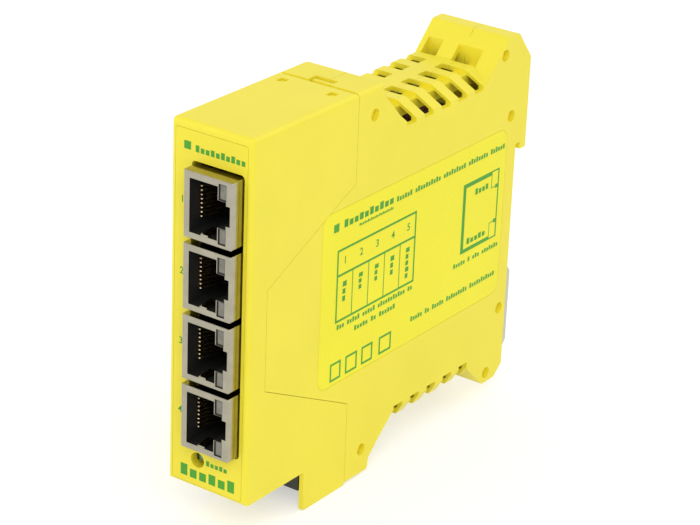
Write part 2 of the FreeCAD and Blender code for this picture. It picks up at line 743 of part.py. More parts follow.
def hood():
    """Front cap: wraps the front, holds the window, and carries the wings below."""
    body = side_prism(hood_profile(), (-HALF, HALF))
    outer_edges = edges_where(body, lambda p: near(p.y, FRONT) and near(abs(p.x), HALF))
    outer_edges += edges_where(body, lambda p: near(p.z, TOP) and near(abs(p.x), HALF))
    outer_edges += edges_where(body, lambda p: near(abs(p.z - FRONT_MIDDLE), FRONT_HALF) and near(p.y, FRONT))
    body = body.makeFillet(EDGE_ROUND, outer_edges)
    back = FRONT + FRONT_WALL
    body = body.cut(block((-INNER, INNER), (back, 0), (HOOD_FLOOR, TOP - WALL)))
    room = HALF - WING_WALL
    body = body.cut(block((-room, room), (FRONT, 0), (-HOOD_FRONT_BOTTOM, -WIDTH - TOP)))
    body = fuse([body, hood_latch(), *hood_ribs()])
    body = body.cut(overlay_plate(OVERLAY_GAP, OVERLAY_THICK))
    body = body.cut(window_prism((FRONT, back + WALL)))
    body = body.cut(along_y(LAMP_X, LAMP_Z, LAMP_HOLE, (FRONT, back + FRONT_WALL)))
    side = HEADER_HALF + HEADER_PLAY
    mouth = (HEADER_FRONT - HEADER_PLAY, HEADER_BACK + HEADER_PLAY)
    body = body.cut(block((-side, side), mouth, (HOOD_FLOOR, -HOOD_FRONT_BOTTOM)))
    wide, long = SNAP_SIZE
    for x in (-SNAP_X, SNAP_X):
        hole = (-SNAP_DEPTH - long / 2, -SNAP_DEPTH + long / 2)
        body = body.cut(block((x - wide / 2, x + wide / 2), hole, (TOP - WALL, TOP)))
    return body


def front_overlay():
    film = overlay_plate(0.0, OVERLAY_THICK)
    film = film.cut(window_prism((FRONT, FRONT + WALL)))
    return film.cut(along_y(LAMP_X, LAMP_Z, LAMP_HOLE, (FRONT, FRONT + WALL)))


def side_label():
    return label_plate(0.0, LABEL_THICK)


# ---------------------------------------------------------------- sockets
def jack_outline():
    """Mouth of a modular socket, from the board up, with its two latch steps."""
    base = BOARD_FACE
    half_outline = [
        (base + SOCKET_FLOOR, SOCKET_HALF),
        (base + SOCKET_ROOF, SOCKET_HALF),
        (base + SOCKET_ROOF, LATCH_STEP_HALF),
        (base + LATCH_STEP_ROOF, LATCH_STEP_HALF),
        (base + LATCH_STEP_ROOF, KEY_STEP_HALF),
        (base + KEY_STEP_ROOF, KEY_STEP_HALF),
    ]
    return half_outline + [(x, -z) for x, z in reversed(half_outline)]


def light_blocks(frame, y_span):
    """The two light windows beside the latch, drawn in by the frame."""
    top = BOARD_FACE + LIGHT_ROOF - frame
    bottom = BOARD_FACE + LIGHT_ROOF - LIGHT_HEIGHT + frame
    z_span = (LIGHT_INNER + frame, LIGHT_OUTER - frame)
    upper = block((bottom, top), y_span, z_span)
    lower = block((bottom, top), y_span, (-z_span[0], -z_span[1]))
    return [upper, lower]


def jack_shield():
    """Folded sheet-metal can, open towards the board, with a spring tab at its mouth."""
    half = JACK_WIDTH / 2
    back = JACK_FRONT + JACK_DEPTH
    roof = BOARD_FACE + JACK_HEIGHT
    can = block((BOARD_FACE, roof), (JACK_FRONT, back), (-half, half))
    folds = edges_where(can, lambda p: near(p.x, roof) or near(p.y, JACK_FRONT))
    can = can.makeFillet(SHEET, folds)
    inside = (-half + SHEET, half - SHEET)
    can = can.cut(block((BOARD_FACE, roof - SHEET), (JACK_FRONT + SHEET, back - SHEET), inside))
    mouth = (JACK_FRONT, JACK_FRONT + SHEET)
    can = can.cut(front_prism(jack_outline(), mouth))
    can = can.cut(fuse(light_blocks(0.0, mouth)))
    tab_path = [
        (-SOCKET_HALF - SHEET / 2, JACK_FRONT + SHEET / 2),
        (-SOCKET_HALF + SHEET, JACK_FRONT + SHEET / 2),
        (-SOCKET_HALF + 2 * SHEET, JACK_FRONT + TAB_REACH),
    ]
    strip = [vec(BOARD_FACE + TAB[0], y, z) for z, y in ribbon(tab_path, TAB_THICK)]
    tab = Part.Face(Part.makePolygon(strip + strip[:1])).extrude(vec(TAB[1] - TAB[0], 0, 0))
    return can.fuse(tab)


def jack_insert():
    """Moulded body inside the can, with the socket, contact comb and light channels."""
    half = JACK_WIDTH / 2 - SHEET
    front = JACK_FRONT + SHEET
    roof = BOARD_FACE + JACK_HEIGHT - SHEET
    body = block((BOARD_FACE, roof), (front, JACK_FRONT + JACK_DEPTH - SHEET), (-half, half))
    bottom = JACK_FRONT + SOCKET_DEPTH
    body = body.cut(front_prism(jack_outline(), (front, bottom)))
    body = body.cut(fuse(light_blocks(LIGHT_FRAME, (front, front + LIGHT_DEPTH))))
    combs = []
    for z in contact_places():
        rise = (BOARD_FACE + SOCKET_FLOOR, BOARD_FACE + SOCKET_FLOOR + CONTACT_RISE + COMB_RISE)
        gap = (z - CONTACT_WIDTH / 2 - FIT, z + CONTACT_WIDTH / 2 + FIT)
        combs.append(block(rise, (bottom, bottom + COMB_DEPTH), gap))
    tab_room = (BOARD_FACE + TAB[0] - FIT, BOARD_FACE + TAB[1] + FIT)
    combs.append(block(tab_room, (front, front + SHEET * 2), (-SOCKET_HALF - 2 * SHEET, 0)))
    return body.cut(fuse(combs))


def contact_places():
    first = -(CONTACT_COUNT - 1) * CONTACT_PITCH / 2
    return [first + CONTACT_PITCH * n for n in range(CONTACT_COUNT)]


def jack_contacts():
    """Eight hairpin springs: a leg along the socket's floor, the other rising inwards."""
    floor = BOARD_FACE + SOCKET_FLOOR + CONTACT_THICK / 2
    bend = JACK_FRONT + CONTACT_SET_BACK
    path = [
        (floor, bend + CONTACT_RUN * LOWER_LEG),
        (floor, bend + CONTACT_THICK),
        (floor + CONTACT_THICK * CONTACT_BEND, bend),
        (floor + CONTACT_RISE, bend + CONTACT_RUN),
    ]
    outline = ribbon(path, CONTACT_THICK)
    springs = []
    for z in contact_places():
        points = [vec(x, y, z - CONTACT_WIDTH / 2) for x, y in outline]
        face = Part.Face(Part.makePolygon(points + points[:1]))
        springs.append(face.extrude(vec(0, 0, CONTACT_WIDTH)))
    return Part.makeCompound(springs)


def jack_lenses():
    """Two light pipes, set flush in the moulded body's channels."""
    front = JACK_FRONT + SHEET
    return Part.makeCompound(light_blocks(LIGHT_FRAME, (front, front + LIGHT_DEPTH)))


# ---------------------------------------------------------------- board and components
def board_profile():
    front = FRONT + FRONT_WALL + BOARD_GAP
    notch_front = HEADER_FRONT - HEADER_FLANGE - WALL
    notch_back = HEADER_BACK + HEADER_FLANGE + WALL
    notch_top = HEADER_TOP + WALL
    return [
        (front, BOARD_TOP, BOARD_ROUND),
        (-BOARD_STEP_DEPTH, BOARD_TOP, BOARD_ROUND),
        (-BOARD_STEP_DEPTH, BOARD_BOTTOM, BOARD_ROUND),
        (-BOARD_BACK, BOARD_BOTTOM - BOARD_TAPER, BOARD_ROUND),
        (-BOARD_BACK, -BOARD_BOTTOM + BOARD_TAPER, BOARD_ROUND),
        (notch_back, -BOARD_BOTTOM, BOARD_ROUND),
        (notch_back, notch_top, NOTCH_ROUND),
        (notch_front, notch_top, NOTCH_ROUND),
        (notch_front, -BOARD_BOTTOM, BOARD_ROUND),
        (front, -BOARD_BOTTOM, BOARD_ROUND),
    ]


def main_board():
    """Board between the posts of the two shells, drilled for posts and header pins."""
    board = side_prism(board_profile(), (BOARD_BACK_FACE, BOARD_FACE))
    across = (BOARD_BACK_FACE, BOARD_FACE)
    hole = POST_PIN + POST_PIN_PLAY
    holes = [along_x(-depth, z, hole, across) for depth, z in (*POST_PLACES, FRONT_POST)]
    half = PIN_SIZE / 2 + PIN_BOARD_PLAY
    for _, z in header_pin_rows():
        holes.append(block(across, (PIN_Y - half, PIN_Y + half), (z - half, z + half)))
    return board.cut(fuse(holes))


def on_board(y_centre, z_centre, length, height, rise, lift=0.0):
    """Component body standing on the board: length along Y, height along Z, rise off it."""
    return block(
        (BOARD_FACE + lift, BOARD_FACE + lift + rise),
        (y_centre - length / 2, y_centre + length / 2),
        (z_centre - height / 2, z_centre + height / 2),
    )


def leaded_chip(place, size, four_sided):
    """Moulded chip with a row of leads above and below, and on its ends if four-sided."""
    y, z = -place[0], place[1]
    length, height, rise = size
    body = on_board(y, z, length, height, rise - CHIP_LIFT, CHIP_LIFT)
    top = BOARD_FACE + rise
    parts = [body.makeChamfer(CHIP_CHAMFER, edges_where(body, lambda p: near(p.x, top)))]
    for offset in lead_offsets(length):
        parts.append(on_board(y + offset, z, LEAD_WIDTH, height + 2 * LEAD_REACH, LEAD_THICK))
    if four_sided:
        for offset in lead_offsets(height):
            parts.append(on_board(y, z + offset, length + 2 * LEAD_REACH, LEAD_WIDTH, LEAD_THICK))
    return fuse(parts)


def lead_offsets(side):
    """Places of the leads along one side of a chip, from its middle."""
    count = int((side - LEAD_PITCH) / LEAD_PITCH)
    return [(n - (count - 1) / 2) * LEAD_PITCH for n in range(count)]


def switch_chip():
    return leaded_chip(SWITCH_CHIP_PLACE, SWITCH_CHIP_SIZE, True)


def regulator_chip():
    return leaded_chip(REGULATOR_PLACE, REGULATOR_SIZE, False)


def crystal():
    """Low metal can with rounded ends, lying across the board on its flange."""
    y, z = -CRYSTAL_PLACE[0], CRYSTAL_PLACE[1]
    length, height, rise = CRYSTAL_SIZE
    margin, thickness = CRYSTAL_FLANGE
    spans = []
    for grow in (0.0, margin):
        y_span = (y - length / 2 - grow, y + length / 2 + grow)
        z_span = (z - height / 2 - grow, z + height / 2 + grow)
        spans.append(plate_corners(y_span, z_span, CRYSTAL_END * height + grow))
    can = side_prism(spans[0], (BOARD_FACE, BOARD_FACE + rise))
    return can.fuse(side_prism(spans[1], (BOARD_FACE, BOARD_FACE + thickness)))


def power_inductor():
    """Wound drum between two flanges, standing on the board."""
    y, z = -INDUCTOR_PLACE[0], INDUCTOR_PLACE[1]
    top = BOARD_FACE + INDUCTOR_HEIGHT
    lower = along_x(y, z, INDUCTOR_RADIUS, (BOARD_FACE, BOARD_FACE + INDUCTOR_FLANGE))
    upper = along_x(y, z, INDUCTOR_RADIUS, (top - INDUCTOR_FLANGE, top))
    winding = along_x(y, z, WINDING_RADIUS, (BOARD_FACE + INDUCTOR_FLANGE, top - INDUCTOR_FLANGE))
    return fuse([lower, upper, winding])


def electrolytic_capacitors():
    """Cans turned from one outline, with the pressed groove near the board."""
    half_width, depth = GROOVE
    outline = [
        (0.0, 0.0),
        (0.0, CAPACITOR_RADIUS),
        (GROOVE_HEIGHT - half_width, CAPACITOR_RADIUS),
        (GROOVE_HEIGHT, CAPACITOR_RADIUS - depth),
        (GROOVE_HEIGHT + half_width, CAPACITOR_RADIUS),
        (CAPACITOR_HEIGHT - CAPACITOR_EDGE, CAPACITOR_RADIUS),
        (CAPACITOR_HEIGHT, CAPACITOR_RADIUS - CAPACITOR_EDGE),
        (CAPACITOR_HEIGHT, 0.0),
    ]
    cans = []
    for depth_in, z in CAPACITOR_PLACES:
        points = [vec(BOARD_FACE + rise, -depth_in, z + radius) for rise, radius in outline]
        face = Part.Face(Part.makePolygon(points + points[:1]))
        cans.append(face.revolve(vec(0, -depth_in, z), vec(1, 0, 0), 360))
    return Part.makeCompound(cans)


def power_led():
    """Domed lamp behind its hole in the front, with two leads back to the board."""
    tip = FRONT + LAMP_SET_BACK
    back = tip + LAMP_LENGTH
    body = along_y(LAMP_X, LAMP_Z, LAMP_RADIUS, (tip + LAMP_RADIUS, back))
    dome = Part.makeSphere(LAMP_RADIUS, vec(LAMP_X, tip + LAMP_RADIUS, LAMP_Z))
    flange = along_y(LAMP_X, LAMP_Z, LAMP_FLANGE, (back - LAMP_FLANGE_THICK, back))
    parts = [body, dome, flange]
    for z in (LAMP_Z - LAMP_LEAD_SIDE, LAMP_Z + LAMP_LEAD_SIDE):
        turn = back + LAMP_LEAD_RUN
        path = [(LAMP_X, back - LAMP_LEAD / 2), (LAMP_X, turn), (BOARD_FACE, turn)]
        outline = [vec(x, y, z - LAMP_LEAD / 2) for x, y in ribbon(path, LAMP_LEAD)]
        face = Part.Face(Part.makePolygon(outline + outline[:1]))
        parts.append(face.extrude(vec(0, 0, LAMP_LEAD)))
    return fuse(parts)


# ---------------------------------------------------------------- supply header
def pole_places():
    first = -(POLES - 1) * POLE_PITCH / 2
    return [first + POLE_PITCH * n for n in range(POLES)]


def header_pin_rows():
    """(pole x, height on the board) of each pin; farther poles cross over nearer ones."""
    first = HEADER_TOP + PIN_FIRST_RISE
    return [(x, first + PIN_ROW * n) for n, x in enumerate(pole_places())]


def pin_solids(grow=0.0):
    """Square pins that rise from the socket and turn across to the board."""
    pins = []
    size = PIN_SIZE + 2 * grow
    for x, level in header_pin_rows():
        if x < BOARD_BACK_FACE:
            end = BOARD_FACE + PIN_OUT
        else:
            end = BOARD_BACK_FACE - PIN_OUT
        path = [(x, HEADER_MOUTH + PIN_TIP), (x, level), (end, level)]
        outline = [vec(a, PIN_Y - size / 2, b) for a, b in ribbon(path, size)]
        pins.append(Part.Face(Part.makePolygon(outline + outline[:1])).extrude(vec(0, size, 0)))
    return pins


def header_pins():
    return Part.makeCompound(pin_solids())


def terminal_header():
    """Shrouded five-pole header whose mouth faces down, keyed along its front wall."""
    across = (-HEADER_HALF, HEADER_HALF)
    body = block(across, (HEADER_FRONT, HEADER_BACK), (HEADER_MOUTH, HEADER_TOP))
    flange = block(across, (HEADER_FRONT - HEADER_FLANGE, HEADER_BACK + HEADER_FLANGE),
                   (HOOD_FLOOR, HOOD_FLOOR + HEADER_FLANGE))
    body = body.fuse(flange)
    inner = (HEADER_FRONT + HEADER_WALL, HEADER_BACK - HEADER_WALL)
    ends = HEADER_HALF - HEADER_WALL
    body = body.cut(block((-ends, ends), inner, (HEADER_MOUTH, HEADER_TOP - HEADER_ROOF)))
    keys = []
    key_depth = (inner[0] - KEY_DEPTH, inner[0])
    key_height = (HEADER_MOUTH, HEADER_TOP - HEADER_ROOF - KEY_SHORT)
    for x in pole_places():
        keys.append(block((x - KEY_WIDTH / 2, x + KEY_WIDTH / 2), key_depth, key_height))
    body = body.cut(fuse(keys))
    return body.cut(fuse(pin_solids()))


# ---------------------------------------------------------------- rail catch
def rail_catch():
    """Slide that hooks the rail's lower edge; its stem runs in the back wall."""
    edge = -RAIL_EDGE - CATCH_PLAY
    tooth_top = -RAIL_EDGE + CATCH_TOOTH
    tooth_front = RAIL_SLOT + CATCH_PLAY
    profile = [
        (CATCH_PLAY, -CATCH_BOTTOM),
        (CATCH_BACK - CATCH_CHAMFER, -CATCH_BOTTOM),
        (CATCH_BACK, -CATCH_BOTTOM + CATCH_CHAMFER),
        (CATCH_BACK, tooth_top - CATCH_LEAD),
        (tooth_front + CATCH_TIP, tooth_top),
        (tooth_front, tooth_top),
        (tooth_front, edge),
        (CATCH_PLAY, edge),
    ]
    body = side_prism(profile, (-CATCH_HALF, CATCH_HALF))
    z_span = (-STEM_TOP - STEM_HEIGHT, -STEM_TOP)
    inside = -WALL - CATCH_PLAY
    stem = block((-STEM_HALF, STEM_HALF), (inside, CATCH_PLAY), z_span)
    head = block((-HEAD_HALF, HEAD_HALF), (inside - HEAD_THICK, inside), z_span)
    spigot = along_z(0, spring_y(), SPIGOT, (z_span[0] - SPIGOT_LENGTH, z_span[0]))
    wide, deep, tall = PRY_SLOT
    pry = block((-wide / 2, wide / 2), (CATCH_BACK - PRY_BACK, CATCH_BACK - PRY_BACK + deep),
                (-CATCH_BOTTOM, -CATCH_BOTTOM + tall))
    return fuse([body, stem, head, spigot]).cut(pry)


def catch_spring():
    """Open coil between the shelf in the foot and the catch's head."""
    bottom = -STEM_TOP - STEM_HEIGHT - SPRING_LENGTH
    rise = SPRING_LENGTH - 2 * SPRING_WIRE
    steps = SPRING_TURNS * SPRING_STEPS
    turn = 2 * math.pi / SPRING_STEPS
    path = [
        vec(SPRING_RADIUS * math.cos(turn * n), SPRING_RADIUS * math.sin(turn * n), rise * n / steps)
        for n in range(steps + 1)
    ]
    along = (path[1] - path[0]).normalize()
    across = (vec(1, 0, 0) - along * along.x).normalize()
    upward = along.cross(across)
    section = []
    for n in range(WIRE_SIDES + 1):
        angle = 2 * math.pi * n / WIRE_SIDES
        sideways = across * (SPRING_WIRE * math.cos(angle))
        section.append(path[0] + sideways + upward * (SPRING_WIRE * math.sin(angle)))
    coil = Part.makePolygon(path).makePipeShell([Part.makePolygon(section)], True, False, 1)
    return coil.translated(vec(0, spring_y(), bottom + SPRING_WIRE))


# ---------------------------------------------------------------- all nodes
def nodes():
    """Name and shape of every piece."""
    shared = base_common()
    pieces = {
        "hood": hood(),
        "base_shell_left": base_shell_left(shared),
        "base_shell_right": base_shell_right(shared),
        "front_overlay": front_overlay(),
        "side_label": side_label(),
        "main_board": main_board(),
        "switch_chip": switch_chip(),
        "regulator_chip": regulator_chip(),
        "crystal": crystal(),
        "power_inductor": power_inductor(),
        "electrolytic_capacitors": electrolytic_capacitors(),
        "power_led": power_led(),
        "terminal_header": terminal_header(),
        "header_pins": header_pins(),
        "rail_catch": rail_catch(),
        "catch_spring": catch_spring(),
    }
    socket_pieces = {
        "jack_shield": jack_shield(),
        "jack_insert": jack_insert(),
        "jack_contacts": jack_contacts(),
        "jack_lenses": jack_lenses(),
    }
    for number, centre in enumerate(JACK_CENTRES, start=1):
        for name, shape in socket_pieces.items():
            pieces[f"{name}_{number}"] = shape.translated(vec(0, 0, centre))
    return pieces


def main():
    os.makedirs("parts", exist_ok=True)
    for name, shape in nodes().items():
        shape.exportStep(f"parts/{name}.step")
        print(f"{name:26s} solids {len(shape.Solids)}  volume {shape.Volume:9.1f}  valid {shape.isValid()}")


main()
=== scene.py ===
"""Finishes, printing, board fittings, studio and camera of a rail-mounted network switch."""

import json
import logging
import math
from dataclasses import dataclass
from enum import Enum
from typing import Iterable

import bmesh
import bpy
from mathutils import Matrix, Vector


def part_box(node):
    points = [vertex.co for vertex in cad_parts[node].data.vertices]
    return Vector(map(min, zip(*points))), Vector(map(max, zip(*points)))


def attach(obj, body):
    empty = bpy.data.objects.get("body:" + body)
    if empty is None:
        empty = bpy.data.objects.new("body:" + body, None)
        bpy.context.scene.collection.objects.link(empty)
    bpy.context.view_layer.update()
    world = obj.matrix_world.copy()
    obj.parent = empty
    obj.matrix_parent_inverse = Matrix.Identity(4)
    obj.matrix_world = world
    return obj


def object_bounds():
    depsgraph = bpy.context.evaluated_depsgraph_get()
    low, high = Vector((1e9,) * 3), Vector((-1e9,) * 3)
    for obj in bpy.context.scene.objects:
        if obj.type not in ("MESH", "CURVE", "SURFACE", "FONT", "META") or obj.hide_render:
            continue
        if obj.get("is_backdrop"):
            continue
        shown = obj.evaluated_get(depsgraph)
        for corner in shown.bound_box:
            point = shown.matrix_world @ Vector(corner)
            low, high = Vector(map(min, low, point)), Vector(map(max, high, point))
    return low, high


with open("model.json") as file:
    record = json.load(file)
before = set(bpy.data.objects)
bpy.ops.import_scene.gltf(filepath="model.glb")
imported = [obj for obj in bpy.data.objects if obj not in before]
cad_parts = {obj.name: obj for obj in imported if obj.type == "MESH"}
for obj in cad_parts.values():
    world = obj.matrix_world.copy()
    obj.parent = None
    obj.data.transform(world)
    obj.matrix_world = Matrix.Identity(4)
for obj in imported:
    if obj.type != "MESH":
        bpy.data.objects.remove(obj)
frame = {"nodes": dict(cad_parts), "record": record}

LOG = logging.getLogger("network_switch")
MM = 0.001

# printed strokes: heights in turn as shares of the tallest, and the gap on each side of one
STROKE_HEIGHTS = (1.0, 0.74, 0.74, 0.9, 0.74, 1.0, 0.74)
STROKE_GAP = 0.14

# printed digits: type size and added weight for each unit of height
DIGIT_SIZE = 1.38
DIGIT_WEIGHT = 0.018

# radius of a solder fillet's top, as a share of its foot's
DOME_TOP = 0.3

# range in which a noise texture's values mostly lie
NOISE_SPAN = (0.35, 0.65)

Colour = tuple[float, float, float]
Span = tuple[float, float]
Socket = bpy.types.NodeSocket
WHITE: Colour = (1.0, 1.0, 1.0)


def rgba(colour: Colour) -> tuple[float, float, float, float]:
    """Returns the colour with a full alpha."""
    return (*colour, 1.0)


def darker(colour: Colour, share: float) -> Colour:
    """Returns the colour with each channel multiplied by the share."""
    return tuple(channel * share for channel in colour)


def socket_kind(value: object) -> str:
    """Returns the socket type that holds a starting value; None stands for a vector."""
    if value is None:
        return "NodeSocketVector"
    return "NodeSocketColor" if isinstance(value, tuple) else "NodeSocketFloat"


class Graph:
    """Lays and joins the nodes of one material or node group."""

    def __init__(self, tree: bpy.types.NodeTree) -> None:
        """Starts on a node tree."""
        self.tree = tree

    def add(
        self, kind: str, values: dict[str | int, object] | None = None, **settings: object
    ) -> bpy.types.Node:
        """Adds one node.

        Args:
            kind: Blender's name of the node type.
            values: starting values of its inputs, by name or number.
            settings: attributes of the node, such as its operation.

        Returns:
            The new node.
        """
        node = self.tree.nodes.new(kind)
        for name, value in settings.items():
            setattr(node, name, value)
        for name, value in (values or {}).items():
            node.inputs[name].default_value = value
        return node

    def join(self, source: Socket, target: Socket) -> None:
        """Links an output to an input."""
        self.tree.links.new(source, target)

    def math(self, operation: str, first: Socket, second: Socket | float) -> Socket:
        """Adds a Math node.

        Args:
            operation: Blender's name of the operation.
            first: the first input.
            second: the second input, as a socket or a number.

        Returns:
            The result's socket.
        """
        node = self.add("ShaderNodeMath", operation=operation)
        self.join(first, node.inputs[0])
        if isinstance(second, Socket):
            self.join(second, node.inputs[1])
        else:
            node.inputs[1].default_value = second
        return node.outputs[0]

    def sine(self, value: Socket) -> Socket:
        """Returns the sine of a value in radians."""
        node = self.add("ShaderNodeMath", operation="SINE")
        self.join(value, node.inputs[0])
        return node.outputs[0]

    def between(self, value: Socket, low: float, high: float, out: Span = (0.0, 1.0)) -> Socket:
        """Maps a value smoothly from one range to another.

        Args:
            value: the value to map.
            low: value that gives the first end of the output range.
            high: value that gives its second end.
            out: the output range.

        Returns:
            The mapped value's socket.
        """
        node = self.add("ShaderNodeMapRange", {1: low, 2: high, 3: out[0], 4: out[1]})
        self.join(value, node.inputs[0])
        return node.outputs[0]

    def blend(self, mask: Socket | float, first: Socket | Colour, second: Socket | Colour) -> Socket:
        """Mixes two colours.

        Args:
            mask: socket or number, 0 for the first colour and 1 for the second.
            first: socket or colour.
            second: socket or colour.

        Returns:
            The mixed colour's socket.
        """
        node = self.add("ShaderNodeMix", data_type="RGBA")
        for place, value in ((0, mask), (6, first), (7, second)):
            if isinstance(value, Socket):
                self.join(value, node.inputs[place])
            else:
                node.inputs[place].default_value = value if place == 0 else rgba(value)
        return node.outputs[2]

    def object_place(self) -> Socket:
        """Returns the place on the object, in its own coordinates."""
        return self.add("ShaderNodeTexCoord").outputs["Object"]

    def object_axes(self) -> bpy.types.bpy_prop_collection:
        """Returns the X, Y and Z sockets of the place on the object."""
        parts = self.add("ShaderNodeSeparateXYZ")
        self.join(self.object_place(), parts.inputs[0])
        return parts.outputs


class SurfaceEffects:
    """Node groups that several finishes share, each built once."""

    def __init__(self) -> None:
        """Starts with no group built."""
        self.built: dict[str, bpy.types.NodeTree] = {}

    def _new(
        self, name: str, inputs: dict[str, object], outputs: dict[str, str]
    ) -> tuple[Graph, bpy.types.Node, bpy.types.Node]:
        """Starts a group with named sockets.

        Args:
            name: name of the group.
            inputs: starting value of each input; a colour, a vector (None) or a number.
            outputs: socket type of each output.

        Returns:
            The graph, the input node and the output node.
        """
        tree = bpy.data.node_groups.new(name, "ShaderNodeTree")
        for label, value in inputs.items():
            socket = tree.interface.new_socket(label, in_out="INPUT", socket_type=socket_kind(value))
            if value is not None:
                socket.default_value = rgba(value) if isinstance(value, tuple) else value
        for label, kind in outputs.items():
            tree.interface.new_socket(label, in_out="OUTPUT", socket_type=kind)
        graph = Graph(tree)
        self.built[name] = tree
        return graph, graph.add("NodeGroupInput"), graph.add("NodeGroupOutput")

    def place(self, graph: Graph, name: str, values: dict[str, object]) -> bpy.types.Node:
        """Puts a group in a material, on Object coordinates.

        Args:
            graph: the material's graph.
            name: name of the group, which is also its building method's name.
            values: values of its inputs.

        Returns:
            The group's node.
        """
        builders = {
            "moulded_grain": self.moulded_grain,
            "rolled_sheet": self.rolled_sheet,
            "filler_specks": self.filler_specks,
        }
        if name not in self.built:
            builders[name]()
        node = graph.add("ShaderNodeGroup", node_tree=self.built[name])
        for label, value in values.items():
            node.inputs[label].default_value = rgba(value) if isinstance(value, tuple) else value
        graph.join(graph.object_place(), node.inputs["Position"])
        return node

    @staticmethod
    def _shaded_base(graph: Graph, given: bpy.types.Node) -> Socket:
        """Returns the group's base colour multiplied by its shade."""
        dark = graph.add("ShaderNodeVectorMath", operation="SCALE")
        graph.join(given.outputs["Base"], dark.inputs[0])
        graph.join(given.outputs["Shade"], dark.inputs["Scale"])
        return dark.outputs[0]

    @staticmethod
    def _varied_roughness(graph: Graph, given: bpy.types.Node, noise: Socket) -> Socket:
        """Returns the group's roughness, moved by a noise within its spread."""
        swing = graph.math("MULTIPLY", graph.math("SUBTRACT", noise, 0.5), given.outputs["Spread"])
        return graph.math("ADD", swing, given.outputs["Roughness"])

    def moulded_grain(self) -> None:
        """Fine spark-eroded texture of a moulding, with a faint broad change of tone."""
        graph, given, result = self._new(
            "moulded_grain",
            {
                "Position": None, "Base": (0.5, 0.5, 0.5), "Shade": 0.9,
                "Fineness": 4000.0, "Roughness": 0.5, "Spread": 0.1,
            },
            {"Colour": "NodeSocketColor", "Roughness": "NodeSocketFloat", "Height": "NodeSocketFloat"},
        )
        fine = graph.add("ShaderNodeTexNoise", {"Detail": 3.0, "Roughness": 0.6})
        broad = graph.add("ShaderNodeTexNoise", {"Scale": 55.0, "Detail": 2.0})
        for noise in (fine, broad):
            graph.join(given.outputs["Position"], noise.inputs["Vector"])
        graph.join(given.outputs["Fineness"], fine.inputs["Scale"])
        halves = [graph.between(noise.outputs["Fac"], *NOISE_SPAN, (0.0, 0.5)) for noise in (broad, fine)]
        tone = graph.math("ADD", *halves)
        colour = graph.blend(tone, given.outputs["Base"], self._shaded_base(graph, given))
        graph.join(colour, result.inputs["Colour"])
        graph.join(self._varied_roughness(graph, given, fine.outputs["Fac"]), result.inputs["Roughness"])
        graph.join(fine.outputs["Fac"], result.inputs["Height"])

    def rolled_sheet(self) -> None:
        """Long fine lines that rolling leaves in plated sheet, along the height of the piece."""
        graph, given, result = self._new(
            "rolled_sheet",
            {"Position": None, "Base": (0.6, 0.6, 0.6), "Shade": 0.85, "Roughness": 0.3, "Spread": 0.2},
            {"Colour": "NodeSocketColor", "Roughness": "NodeSocketFloat", "Height": "NodeSocketFloat"},
        )
        stretch = graph.add("ShaderNodeMapping", {"Scale": (9000.0, 9000.0, 260.0)})
        graph.join(given.outputs["Position"], stretch.inputs["Vector"])
        lines = graph.add("ShaderNodeTexNoise", {"Scale": 1.0, "Detail": 2.0})
        graph.join(stretch.outputs[0], lines.inputs["Vector"])
        cloud = graph.add("ShaderNodeTexNoise", {"Scale": 350.0, "Detail": 2.0})
        graph.join(given.outputs["Position"], cloud.inputs["Vector"])
        tone = graph.between(cloud.outputs["Fac"], *NOISE_SPAN)
        colour = graph.blend(tone, given.outputs["Base"], self._shaded_base(graph, given))
        graph.join(colour, result.inputs["Colour"])
        graph.join(self._varied_roughness(graph, given, lines.outputs["Fac"]), result.inputs["Roughness"])
        graph.join(lines.outputs["Fac"], result.inputs["Height"])

    def filler_specks(self) -> None:
        """Pale mineral specks in a dark moulding compound or ferrite."""
        graph, given, result = self._new(
            "filler_specks",
            {
                "Position": None, "Base": (0.03, 0.03, 0.03), "Speck": (0.12, 0.12, 0.12),
                "Size": 6000.0, "Amount": 0.2,
            },
            {"Colour": "NodeSocketColor", "Height": "NodeSocketFloat"},
        )
        cells = graph.add("ShaderNodeTexVoronoi")
        graph.join(given.outputs["Position"], cells.inputs["Vector"])
        graph.join(given.outputs["Size"], cells.inputs["Scale"])
        picked = graph.math("LESS_THAN", cells.outputs["Distance"], given.outputs["Amount"])
        colour = graph.blend(picked, given.outputs["Base"], given.outputs["Speck"])
        graph.join(colour, result.inputs["Colour"])
        graph.join(cells.outputs["Distance"], result.inputs["Height"])


EFFECTS = SurfaceEffects()


@dataclass(frozen=True)
class Finish:
    """What every finish has: its name, colour and gloss."""

    name: str
    colour: Colour
    roughness: float

    def start(self, **shader_values: float) -> tuple[bpy.types.Material, Graph, bpy.types.Node]:
        """Begins the material.

        Args:
            shader_values: values of the shader's own sockets, with _ for each space.

        Returns:
            The material, its graph and its Principled shader.
        """
        material = bpy.data.materials.new(self.name)
        material.use_nodes = True
        graph = Graph(material.node_tree)
        shader = material.node_tree.nodes["Principled BSDF"]
        shader.inputs["Base Color"].default_value = rgba(self.colour)
        shader.inputs["Roughness"].default_value = self.roughness
        for label, value in shader_values.items():
            shader.inputs[label.replace("_", " ")].default_value = value
        material.diffuse_color = rgba(self.colour)
        return material, graph, shader

    @staticmethod
    def relief(graph: Graph, shader: bpy.types.Node, height: Socket, strength: float, depth: float) -> None:
        """Turns a height into the shader's normal.

        Args:
            graph: the material's graph.
            shader: its Principled shader.
            height: the height socket.
            strength: share of the bump that shows.
            depth: depth of the relief, in millimetres.
        """
        bump = graph.add("ShaderNodeBump", {"Strength": strength, "Distance": depth * MM})
        graph.join(height, bump.inputs["Height"])
        graph.join(bump.outputs["Normal"], shader.inputs["Normal"])


